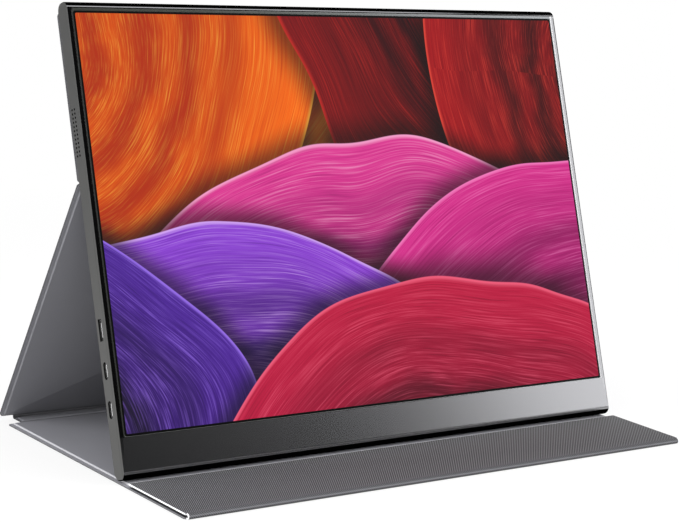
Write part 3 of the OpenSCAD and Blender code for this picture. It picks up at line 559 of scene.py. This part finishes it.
def woven(panel):
    """Fine dotted weave of the cover's outer face: smoother where it is drawn tight over the front fold, with a
    painted highlight there, and a painted highlight along its edge where the panel has one.
    """
    f = Finish(panel.name + " weave", {"Specular IOR Level": 0.25, "Sheen Weight": 0.08})
    place = f.place()
    s, inside = panel.coordinates(*place)
    dots = weave_dots(place[0], s)
    fuzz = f.grain(place, *FUZZ)
    cloud = f.cloud(place, 40)
    # drawn tight and smoother at the front fold, with a painted highlight there
    stretched = s.step(panel.high - 3 * MM, panel.high - 1.5 * MM) * panel.shows.stretched
    weave = f.mix(dots * 0.95 + fuzz * 0.05, f.mix(cloud, tone("0c0c0d"), tone("121214")), tone("848488"))
    weave = f.mix(stretched * 0.3, weave, tone("505054"))
    at_fold = s.step(panel.high - 1.2 * MM, panel.high - 0.8 * MM)
    off_sides = 1 - abs(place[0]).step(panel.half_w - 0.5 * MM, panel.half_w - 0.4 * MM)
    # painted highlight along the weave's edge
    highlit_edge = 1 - (inside + at_fold * MM * off_sides).step(0.25 * MM, 0.4 * MM)
    weave = f.mix(highlit_edge * panel.shows.edge_highlight, weave, tone(HIGHLIGHT_EDGE_TONE))
    height = dots * (1 - 0.6 * stretched) + fuzz * 0.3
    return f.set(Base_Color=weave, Roughness=0.85 - 0.15 * dots, Normal=f.bump(height, 0.12 * MM, 0.7))


def smooth_lining(panel):
    """Smooth leather-like lining with a very fine grain, a painted highlight on its pressed ridge, painted shade
    on its side hems under the folded flap, and a tone of its own at its edge.
    """
    f = Finish(panel.name + " lining", {"Specular IOR Level": 0.25})
    place = f.place()
    s, inside = panel.coordinates(*place)
    grain = f.grain(place, *LEATHER)
    cloud = f.cloud(place, 25)
    side = panel.half_w - abs(place[0])
    # painted highlight on the pressed ridge beside the side hems
    ridge_highlight = side.band(*RIDGE) * panel.shows.ridge_highlight
    under_flap = 1 - s.step(FLAP_LEN - MM, FLAP_LEN)
    # painted shade on the side hems where they lie under the folded flap
    tucked = side.band(*UNDER_FLAP_SHADE) * under_flap * panel.shows.tucked
    colour = f.mix(cloud, tone(panel.shows.plain[0]), tone(panel.shows.plain[1]))
    colour = f.mix(ridge_highlight, colour, tone("d8d8dc"))
    colour = f.mix(tucked, colour, tone("2c2c2e"))
    # the lining's edge tone, which on the flap is a painted highlight
    colour = f.mix(1 - inside.step(0.1 * MM, 0.35 * MM), colour, tone(panel.shows.edge))
    return f.set(Base_Color=colour, Roughness=0.7 + 0.1 * grain - 0.15 * ridge_highlight,
                 Normal=f.bump(grain, 0.03 * MM, 0.5))


def crease_cloth(name, edge, half_w):
    """The bonded skins at a fold: the same weave, with a painted highlight on its shoulder and painted shade on
    its underside near the table, and its cut ends in the edge's tone.
    """
    f = Finish(name, {"Specular IOR Level": 0.2})
    place = f.place()
    x, _, z = place
    dots = weave_dots(x, z)
    fuzz = f.grain(place, *FUZZ)
    cloth = f.mix(dots * 0.8 + fuzz * 0.2, tone("262628"), tone("7a7a7e"))
    # painted highlight on the shoulder
    cloth = f.mix(z.band(*SHOULDER_HIGHLIGHT_Z) * 0.4, cloth, tone("8a8a8e"))
    # painted shade on the underside
    cloth = f.mix(1 - z.step(*UNDERSIDE_SHADE_Z), cloth, tone("0c0c0d"))
    cloth = f.mix(abs(x).step(half_w - 0.4 * MM, half_w - 0.2 * MM), cloth, tone(edge))
    return f.set(Base_Color=cloth, Roughness=0.8, Normal=f.bump(dots + fuzz, 0.05 * MM, 0.5))


# ---- Meshes ----

JOIN_DISTANCE = 0.0005 * MM


def new_piece(name, mesh, body, slot, material, *nodes, sharp=30):
    """An object that rides on a body, takes a slot's finish and stands for CAD nodes."""
    mesh.shade_smooth()
    mesh.set_sharp_from_angle(angle=radians(sharp))
    piece = bpy.data.objects.new(name, mesh)
    bpy.context.scene.collection.objects.link(piece)
    mesh.materials.clear()
    mesh.materials.append(material)
    if body:
        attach(piece, body)
    if nodes:
        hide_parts(*nodes)
    return piece


def rounded_ring(half_w, low, high, low_r, high_r=None, steps=6):
    """Points of a rounded rectangle, anticlockwise from its lower right; its upper corners may differ."""
    high_r = low_r if high_r is None else high_r
    corners = [(half_w - low_r, low + low_r, low_r, -90), (half_w - high_r, high - high_r, high_r, 0),
               (high_r - half_w, high - high_r, high_r, 90), (low_r - half_w, low + low_r, low_r, 180)]
    points = []
    for cx, cy, r, start in corners:
        for i in range(steps + 1):
            turn = radians(start + 90 * i / steps)
            points.append((cx + r * cos(turn), cy + r * sin(turn)))
    return points


def stitch(bm, loops):
    """Quads between each closed loop of vertices and the next."""
    for a, b in zip(loops, loops[1:]):
        for i in range(len(a)):
            j = (i + 1) % len(a)
            bm.faces.new((a[i], a[j], b[j], b[i]))


def stitch_closed(bm, loops):
    """The same, with the first and the last loop filled."""
    stitch(bm, loops)
    bm.faces.new(loops[0])
    bm.faces.new(loops[-1])


def lathe(bm, profile, x, z, steps=24):
    """Closed turned form about an axis that runs from the monitor's face to its back."""
    turns = [2 * pi * i / steps for i in range(steps)]
    rings = [[bm.verts.new(on_monitor(x + r * cos(turn), depth, z + r * sin(turn))) for turn in turns]
             for r, depth in profile]
    stitch(bm, rings + rings[:1])


def finished_mesh(bm, name):
    """Mesh with doubled points joined and faces turned outwards."""
    bmesh.ops.remove_doubles(bm, verts=bm.verts, dist=JOIN_DISTANCE)
    bmesh.ops.recalc_face_normals(bm, faces=bm.faces)
    mesh = bpy.data.meshes.new(name)
    bm.to_mesh(mesh)
    bm.free()
    return mesh


# ---- Monitor ----

EDGE_R = 0.25 * MM
LIP_R = 1.2 * MM
LIP_DEPTH = 0.2 * MM
SILL_DEPTH = 0.4 * MM
CHIN_EDGE_W = 0.2 * MM
# Narrow rings beside the round edges and the lip, which keep the flat face's shading flat
FLAT_MARGIN = 0.05 * MM
TOP_MARGIN = 0.02 * MM
WALL = 1.1 * MM
POCKET_X = 167.4 * MM
POCKET_LOW = 16.1 * MM
POCKET_HIGH = 244.6 * MM
POCKET_R = 0.3 * MM
CHIN_HOLLOW_LOW = 2.4 * MM
# Degrees round the top and the foot, from the frame's back to its flat face
ROUND_STEPS = [54.3, 50, 45, 40, 35, 30, 25, 20, 16, 12, 9, 6, 3, 0]

POSTS = 4
POST_R = 2.4 * MM
POST_BORE_R = 1 * MM
POST_BORE_FLOOR = 4 * MM
POST_END = 8.44 * MM
SCREW_X = 150 * MM
SCREW_Z = 8 * MM

FILM_FRONT = 0.2 * MM
FILM_BACK = 0.4 * MM
FILM_R = 0.8 * MM
BORDER_SLACK = 0.05 * MM

PORT_Y = 5.9 * MM
PORT_MOUTH = -SIDE_X + 0.4 * MM
PORT_DEPTH = 7 * MM
PORT_EASE = 0.1 * MM
BLOCK_T = 1.5 * MM
TONGUE_TIP = 0.4 * MM
TONGUE_TIP_INSET = 0.12 * MM
TONGUE_R = 0.15 * MM
TONGUE_T = 0.6 * MM
PORTS = [
    # height, half width, half thickness and corner radius of the block, half width of the tongue
    (36.4 * MM, 4.17 * MM, 1.28 * MM, 1.2 * MM, 3.35 * MM),
    (56.4 * MM, 4.17 * MM, 1.28 * MM, 1.2 * MM, 3.35 * MM),
    (77.4 * MM, 5.3 * MM, 1.25 * MM, 0.3 * MM, 4 * MM),
]


def face_depth(z):
    """How far behind the flat face the round edges run at a height."""
    past = max(ROUND_R - z, z - (MONITOR_H - ROUND_R), 0)
    return ROUND_R - sqrt(max(ROUND_R ** 2 - past ** 2, 0))


def round_edges(lowest_top):
    """Outlines of the front frame from its back to its flat face, drawn in at the foot and the top."""
    rings = []
    for angle in ROUND_STEPS:
        depth = ROUND_R * (1 - cos(radians(angle)))
        end = ROUND_R * (1 - sin(radians(angle)))
        top = max(MONITOR_H - end, lowest_top)
        side = EDGE_R - sqrt(EDGE_R ** 2 - max(EDGE_R - depth, 0) ** 2)
        outline = rounded_ring(SIDE_X - side, side, MONITOR_H - side, CORNER_R)
        rings.append([(u, min(max(v, end), top), depth) for u, v in outline])
    return rings


def front_bezel():
    """Chin and rim in one closed ring: round top and foot, eased sides, sloping lip, pocket behind."""
    lip_x, lip_top = WINDOW_X + LIP_W, WINDOW_TOP + TOP_LIP_W
    rings = round_edges(lip_top + 3 * TOP_MARGIN)
    for half, low, high, radius, depth in [
            (SIDE_X - EDGE_R - FLAT_MARGIN, ROUND_R + FLAT_MARGIN, lip_top + 2 * TOP_MARGIN, CORNER_R, 0),
            (lip_x + FLAT_MARGIN, CHIN_H - CHIN_EDGE_W - FLAT_MARGIN, lip_top + TOP_MARGIN, LIP_R, 0),
            (lip_x, CHIN_H - CHIN_EDGE_W, lip_top, LIP_R, 0),
            (WINDOW_X, CHIN_H, WINDOW_TOP, LIP_R, LIP_DEPTH),
            (WINDOW_X, CHIN_H, WINDOW_TOP, LIP_R, SILL_DEPTH),
            (POCKET_X, POCKET_LOW, POCKET_HIGH, POCKET_R, SILL_DEPTH),
            (POCKET_X, POCKET_LOW, POCKET_HIGH, POCKET_R, WALL),
            (POCKET_X, ROUND_R, POCKET_HIGH, POCKET_R, WALL),
            (POCKET_X, CHIN_HOLLOW_LOW, POCKET_HIGH, POCKET_R, FRONT_T)]:
        rings.append([(u, v, depth) for u, v in rounded_ring(half, low, high, radius)])
    bm = bmesh.new()
    loops = [[bm.verts.new(on_monitor(u, max(depth, face_depth(v)), v)) for u, v, depth in ring]
             for ring in rings]
    stitch(bm, loops + loops[:1])
    post = [(POST_BORE_R, POST_BORE_FLOOR), (POST_BORE_R, POST_END), (POST_R, POST_END), (POST_R, WALL),
            (0, WALL), (0, POST_BORE_FLOOR)]
    for i in range(POSTS):
        lathe(bm, post, SCREW_X * (2 * i / (POSTS - 1) - 1), SCREW_Z)
    return finished_mesh(bm, "front_bezel")


def screen_loops(bm, rings):
    """Loops of vertices for rings of half width, low, high, corner radius and depth."""
    return [[bm.verts.new(on_monitor(u, depth, v)) for u, v in rounded_ring(half, low, high, radius)]
            for half, low, high, radius, depth in rings]


def film_rings():
    """Front and back outline of the film that shows the picture."""
    return [(SCREEN_W / 2, PICTURE_Z, PICTURE_Z + SCREEN_H, FILM_R, depth)
            for depth in (FILM_FRONT, FILM_BACK)]


def lit_picture():
    """The flat film that shows the picture."""
    bm = bmesh.new()
    stitch_closed(bm, screen_loops(bm, film_rings()))
    return finished_mesh(bm, "lit_picture")


def black_border():
    """The flat border between the film and the frame's window."""
    window = [(WINDOW_X - BORDER_SLACK, CHIN_H + BORDER_SLACK, WINDOW_TOP - BORDER_SLACK, LIP_R, depth)
              for depth in (FILM_BACK, FILM_FRONT)]
    bm = bmesh.new()
    loops = screen_loops(bm, film_rings() + window)
    stitch(bm, loops + loops[:1])
    return finished_mesh(bm, "black_border")


def port_tongues():
    """Tongues of the three sockets on the left side, each with its moulded block at the back."""
    tip, back = PORT_MOUTH + TONGUE_TIP, PORT_MOUTH + PORT_DEPTH
    block = back - BLOCK_T
    bm = bmesh.new()
    for z, half_w, half_h, slot_r, tongue in PORTS:
        for stations, wide, thick, radius in [
                ([(tip, TONGUE_TIP_INSET), (tip + PORT_EASE, 0), (block, 0)], tongue, TONGUE_T / 2, TONGUE_R),
                ([(block - PORT_EASE, PORT_EASE), (block, 0), (back, 0)], half_w, half_h, slot_r)]:
            stitch_closed(bm, [[bm.verts.new(on_monitor(x, PORT_Y + u, z + v))
                                for u, v in rounded_ring(thick - inset, inset - wide, wide - inset, radius)]
                               for x, inset in stations])
    return finished_mesh(bm, "port_tongues")


# ---- Cover ----

# The eased edges: their width, and its share at their middle point
SKIN_EASE = 0.15 * MM
LINING_EASE = 0.12 * MM
EASE_MIDDLE = 0.3
# The lining's rise: the hem's flat end and the rise's start before the hem's inner edge, its end past it
HEM_FLAT_END = 0.35 * MM
RISE_START = 0.3 * MM
RISE_W = LINING_T * 0.9
RISE_STEPS = 8
# The smallest corner radius inside the hems
LEAST_R = 1 * MM

# A crease: how far it runs to either side of its line, its eased ends and how much they are drawn in,
# and how far the middle and the front one stop short of the panels' ends
CREASE_REACH = CREASE_GAP - 0.05 * MM
CREASE_END_EASE = 0.1 * MM
CREASE_END_PULL = 0.02
END_INSET = FOLD_R + 0.1 * MM
BEND_STEPS = 24
FLAT_STEPS = 6


class Panel:
    """A stiff panel: s runs along it from its low to its high end, h from its woven face to its lining."""

    def __init__(self, name, body, origin, along, out, half_w, low, high, hems, radii, shows):
        self.name, self.body, self.shows = name, body, shows
        self.origin, self.along, self.out = Vector(origin), Vector(along), Vector(out)
        self.half_w, self.low, self.high, self.hems, self.radii = half_w, low, high, hems, radii

    def place(self, u, s, h):
        return Vector((u, 0, 0)) + self.origin + self.along * s + self.out * h

    def ring(self, inset, h, hemmed=False):
        """Outline set in by a distance, measured from the hems' inner edges or from the panel's edge."""
        side, low, high = [hem + inset if hemmed else inset for hem in self.hems]
        low_r, high_r = [max(radius - side, min(radius, LEAST_R)) for radius in self.radii]
        outline = rounded_ring(self.half_w - side, self.low + low, self.high - high, low_r, high_r)
        return [self.place(u, s, h) for u, s in outline]

    def coordinates(self, x, y, z):
        """Along the panel, and how far inside its outline, for a shader's point."""
        s = (y - self.origin.y) * self.along.y + (z - self.origin.z) * self.along.z
        middle, (low_r, high_r) = (self.low + self.high) / 2, self.radii
        radius = low_r + (high_r - low_r) * s.step(middle - MM, middle + MM)
        dx = abs(x) - self.half_w + radius
        ds = abs(s - middle) - (self.high - self.low) / 2 + radius
        corner = (dx.most(0.0) ** 2 + ds.most(0.0) ** 2).sqrt()
        return s, radius - corner - dx.most(ds).least(0.0)

    def skin(self):
        """Flat sheet with its outer edge eased."""
        middle = SKIN_EASE * EASE_MIDDLE
        return [self.ring(SKIN_EASE, 0), self.ring(middle, middle),
                self.ring(0, SKIN_EASE), self.ring(0, SKIN_T)]

    def lining(self):
        """Flat hem, a pressed rise over the board's edge, then the padded plateau; hollow over the board."""
        middle = LINING_EASE * EASE_MIDDLE
        rings = [self.ring(LINING_T, PANEL_T - LINING_T, True), self.ring(LINING_T, SKIN_T, True),
                 self.ring(0, SKIN_T), self.ring(0, BONDED_T - LINING_EASE),
                 self.ring(middle, BONDED_T - middle), self.ring(LINING_EASE, BONDED_T),
                 self.ring(-HEM_FLAT_END, BONDED_T, True)]
        for i in range(1, RISE_STEPS):
            t = i / RISE_STEPS
            lift = t * t * (3 - 2 * t)
            inset = (RISE_W + RISE_START) * t - RISE_START
            rings.append(self.ring(inset, BONDED_T + (PANEL_T - BONDED_T) * lift, True))
        return rings + [self.ring(RISE_W, PANEL_T, True)]

    def build(self, kind, rings, material, slot):
        name = self.name + "_" + kind
        bm = bmesh.new()
        stitch_closed(bm, [[bm.verts.new(point) for point in ring] for ring in rings])
        new_piece(name + "_cloth", finished_mesh(bm, name), self.body, slot, material, name)


def bent_outline(r_out, start, end):
    """Both skins together, bent about a fold's line between two angles, with a straight end at each."""
    a, b = radians(start), radians(end)
    tail = CREASE_REACH

    def edge(radius):
        points = [(radius * cos(a) + tail * sin(a), radius * sin(a) - tail * cos(a))]
        for i in range(BEND_STEPS + 1):
            turn = a + (b - a) * i / BEND_STEPS
            points.append((radius * cos(turn), radius * sin(turn)))
        return points + [(radius * cos(b) - tail * sin(b), radius * sin(b) + tail * cos(b))]

    return edge(r_out) + edge(r_out - BONDED_T)[::-1]


def flat_outline():
    """Both skins together, flat across the gap between two panels."""
    ys = [CREASE_REACH * (i / FLAT_STEPS - 1) for i in range(2 * FLAT_STEPS + 1)]
    return [(y, -BONDED_T / 2) for y in ys] + [(-y, BONDED_T / 2) for y in ys]


def crease(name, axis, outline, inset, edge_tone):
    """Runs a crease's outline across the cover."""
    half = SIDE_X - inset
    middle = Vector((0, sum(y for y, _ in outline), sum(z for _, z in outline))) / len(outline)
    bm = bmesh.new()
    loops = []
    for x, pull in [(-half, CREASE_END_PULL), (CREASE_END_EASE - half, 0), (half - CREASE_END_EASE, 0),
                    (half, CREASE_END_PULL)]:
        loops.append([bm.verts.new(axis + Vector((x, y, z)) + (middle - Vector((0, y, z))) * pull)
                      for y, z in outline])
    stitch_closed(bm, loops)
    finish = crease_cloth(name + " cloth", edge_tone, half)
    piece = new_piece(name + "_cloth", finished_mesh(bm, name), None, "crease_skin", finish, name)
    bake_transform(piece)


# ---- Studio ----

WHITE = (1.0, 1.0, 1.0, 1.0)
FLOOR_GREY = (0.85, 0.85, 0.85, 1.0)
ROOM_LIGHT = 0.6
DARK_ROOM = 0.02
# Directions in which metal mirrors the white behind the object, from where it starts to where it is full
BEHIND_Y = (-0.1, 0.2)
BEHIND_TOP_Z = (0.35, 0.65)
FLOOR_GLOW = 0.8
FLOOR_FADE = (0.35, 0.9)
FLOOR_R = 9
LAMPS = [
    # name, place, the point that it faces, width and height in metres, radiance
    ("side_softbox", (1.226, -0.699, 0.66), (0, 0, 0.12), (0.92, 1.3), 4.2),
    ("key_softbox", (0.35, -0.2, 1.35), (0.35, -0.2, 0), (1.4, 0.45), 3.2),
    ("fill_softbox", (-0.95, -0.62, 0.5), (-0.15, 0, 0.05), (1.3, 0.9), 2.3),
    ("left_softbox", (-1.15, 0.35, 0.6), (-0.15, 0.03, 0), (0.9, 0.8), 3.75),
]

CAMERA_YAW = radians(37.172)
CAMERA_PITCH = radians(10.582)
CAMERA_ROLL = radians(3.853)
CAMERA_PLACE = (-0.68950, -0.89258, 0.30919)
LENS = 108.364
SENSOR_W = 36


def room():
    """Even light on the object, white behind it, and a dark room for polished metal in front and above."""
    world = bpy.data.worlds.new("studio room")
    bpy.context.scene.world = world
    f = Finish("studio room", {"Color": WHITE}, world)
    _, y, z = f.place("Generated")
    camera, glossy, through = f.rays()
    behind = y.step(*BEHIND_Y) * (1 - z.step(*BEHIND_TOP_Z))
    mirrored = DARK_ROOM + (1 - DARK_ROOM) * behind
    seen = camera + through
    f.set(Strength=seen + (1 - seen) * (glossy * mirrored + (1 - glossy) * ROOM_LIGHT))


def studio_floor():
    """Pale floor that runs out to plain white and keeps the object's soft shadow."""
    f = Finish("studio floor", {"Base Color": FLOOR_GREY, "Roughness": 0.9, "Specular IOR Level": 0.0})
    x, y, _ = f.place()
    camera, glossy, through = f.rays()
    seen = (camera + glossy + through).least(1.0)
    far = (x * x + y * y).sqrt().step(*FLOOR_FADE)
    glow = f.add("ShaderNodeEmission", None, {"Color": WHITE, "Strength": 1.0})
    factor = seen * (FLOOR_GLOW + (1 - FLOOR_GLOW) * far)
    mixed = f.add("ShaderNodeMixShader", None, {0: factor, 1: f.shader.outputs[0], 2: glow.outputs[0]})
    f.feed(f.tree.nodes["Material Output"].inputs["Surface"], mixed.outputs[0])
    bm = bmesh.new()
    bmesh.ops.create_circle(bm, cap_ends=True, radius=FLOOR_R, segments=96)
    mesh = bpy.data.meshes.new("studio_floor")
    bm.to_mesh(mesh)
    bm.free()
    mesh.materials.append(f.holder)
    ground = bpy.data.objects.new("studio_floor", mesh)
    bpy.context.scene.collection.objects.link(ground)


def softbox(name, centre, target, size, radiance):
    """A rectangular lamp that faces a point; it shows in metal but not to the camera."""
    lamp = bpy.data.lights.new(name, "AREA")
    lamp.shape = "RECTANGLE"
    lamp.size, lamp.size_y = size
    lamp.energy = radiance * pi * size[0] * size[1]
    holder = bpy.data.objects.new(name, lamp)
    holder.location = centre
    holder.rotation_euler = (Vector(target) - Vector(centre)).to_track_quat("-Z", "Y").to_euler()
    holder.visible_camera = False
    bpy.context.scene.collection.objects.link(holder)


def aim_camera():
    """The photograph's view, from the camera's yaw, pitch and roll, its place and its lens."""
    forward = Vector((sin(CAMERA_YAW) * cos(CAMERA_PITCH), cos(CAMERA_YAW) * cos(CAMERA_PITCH),
                      -sin(CAMERA_PITCH)))
    level = Vector((cos(CAMERA_YAW), -sin(CAMERA_YAW), 0))
    upright = level.cross(forward)
    right = level * cos(CAMERA_ROLL) + upright * sin(CAMERA_ROLL)
    up = upright * cos(CAMERA_ROLL) - level * sin(CAMERA_ROLL)
    lens = bpy.data.cameras.new("camera")
    lens.lens = LENS
    lens.sensor_width = SENSOR_W
    camera = bpy.data.objects.new("camera", lens)
    turned = Matrix((right, up, -forward)).transposed().to_4x4()
    camera.matrix_world = Matrix.Translation(CAMERA_PLACE) @ turned
    bpy.context.scene.collection.objects.link(camera)
    bpy.context.scene.camera = camera


# ---- Assembly ----

BACKWARD, FORWARD, UP, DOWN = (0, 1, 0), (0, -1, 0), (0, 0, 1), (0, 0, -1)

# The strut's lining meets the line of the fold at its foot, and its woven face that of the middle fold
STRUT_LINE = FOLD_AXIS - STRUT_AXIS
STRUT_LEAN = acos(STRUT_LINE.z / STRUT_LINE.length) + asin(PANEL_T / STRUT_LINE.length)
STRUT_ALONG = (0, -sin(STRUT_LEAN), cos(STRUT_LEAN))
STRUT_OUT = Vector((0, -cos(STRUT_LEAN), -sin(STRUT_LEAN)))
STRUT_LEN = sqrt(STRUT_LINE.length ** 2 - PANEL_T ** 2)
SPINE_W = STRUT_AXIS.y - BASE_AXIS.y
BASE_LEN = BASE_AXIS.y - FLAP_AXIS.y


def dress_solids(finishes):
    """Gives the solids of each material slot their finish."""
    for part in frame["record"]["subparts"]:
        if part["material_slot"] in finishes:
            for holder in NODES[part["node"]].material_slots:
                holder.material = finishes[part["material_slot"]]


def dress_monitor(finishes):
    """The monitor's pieces that stand for solids."""
    new_piece("front_bezel", front_bezel(), "monitor", "front_metal", front_metal(), "front_frame", sharp=40)
    new_piece("port_tongues_plated", port_tongues(), "monitor", "socket_steel", contact_tin(),
              "usb_c_tongues", "mini_hdmi_tongue")
    new_piece("lit_picture", lit_picture(), "monitor", "picture", finishes["picture"], "picture_film")
    new_piece("black_border", black_border(), "monitor", "border_black", finishes["border_black"],
              "border_mask")


def cover_panels():
    """The cover's five panels, each with its hems at the sides, at its low end and at its high end."""
    long_hems = (HEM_W, CREASE_HEM_W, CREASE_HEM_W)
    monitor_up, monitor_out = (0, sin(TILT), cos(TILT)), (0, -cos(TILT), sin(TILT))
    return [
        Panel("base", "base", (0, FLAP_AXIS.y, 0), BACKWARD, UP,
              SIDE_X, CREASE_GAP, BASE_LEN - CREASE_GAP, long_hems, (FOLD_R, FOLD_R),
              Shows(plain=LIT_LINING, ridge_highlight=0.5, edge=LIGHT_GREY_EDGE, tucked=1.0)),
        Panel("flap", "flap", (0, FLAP_AXIS.y + FLAP_LEN, 2 * FLAP_AXIS.z), FORWARD, DOWN,
              SIDE_X, 0, FLAP_LEN - CREASE_GAP, (HEM_W, HEM_W, CREASE_HEM_W), (FOLD_R, FOLD_R),
              Shows(plain=LIT_LINING, edge=HIGHLIGHT_EDGE_TONE, stretched=1.0, edge_highlight=1.0)),
        Panel("spine", "spine", (0, BASE_AXIS.y, 0), BACKWARD, UP,
              SIDE_X - CREASE_INSET, CREASE_GAP, SPINE_W - CREASE_GAP, (CREASE_HEM_W,) * 3, (FOLD_R, FOLD_R),
              Shows(ridge_highlight=0.0)),
        Panel("strut", "strut", STRUT_AXIS - STRUT_OUT * PANEL_T, STRUT_ALONG, STRUT_OUT,
              SIDE_X, CREASE_GAP, STRUT_LEN - CREASE_GAP, long_hems, (PANEL_R, FOLD_R), Shows()),
        Panel("back", "monitor", FOLD_AXIS, monitor_up, monitor_out,
              SIDE_X, CREASE_GAP, BACK_LEN, (HEM_W, CREASE_HEM_W, HEM_W), (FOLD_R, PANEL_R), Shows()),
    ]


def cover_creases():
    """The four bare folds between the panels."""
    lean, tilt = degrees(STRUT_LEAN), degrees(TILT)
    crease("fold_crease", FOLD_AXIS, bent_outline(PANEL_T, 180 - tilt, 180 + lean),
           END_INSET, DULL_EDGE)
    crease("strut_crease", STRUT_AXIS, bent_outline(PANEL_T, -90, lean),
           CREASE_INSET, DULL_EDGE)
    # the ends of the flap's fold carry the painted highlight of its edge
    crease("flap_crease", FLAP_AXIS, bent_outline(FLAP_AXIS.z, 90, 270),
           END_INSET, HIGHLIGHT_EDGE_TONE)
    crease("base_crease", BASE_AXIS, flat_outline(),
           CREASE_INSET, DULL_EDGE)


bpy.context.scene.view_settings.view_transform = "Standard"
aim_camera()
room()
studio_floor()
for lamp in LAMPS:
    softbox(*lamp)

slots = slot_finishes()
dress_solids(slots)
dress_monitor(slots)
for panel in cover_panels():
    panel.build("skin", panel.skin(), woven(panel), "woven_skin")
    panel.build("lining", panel.lining(), smooth_lining(panel), "smooth_lining")
cover_creases()
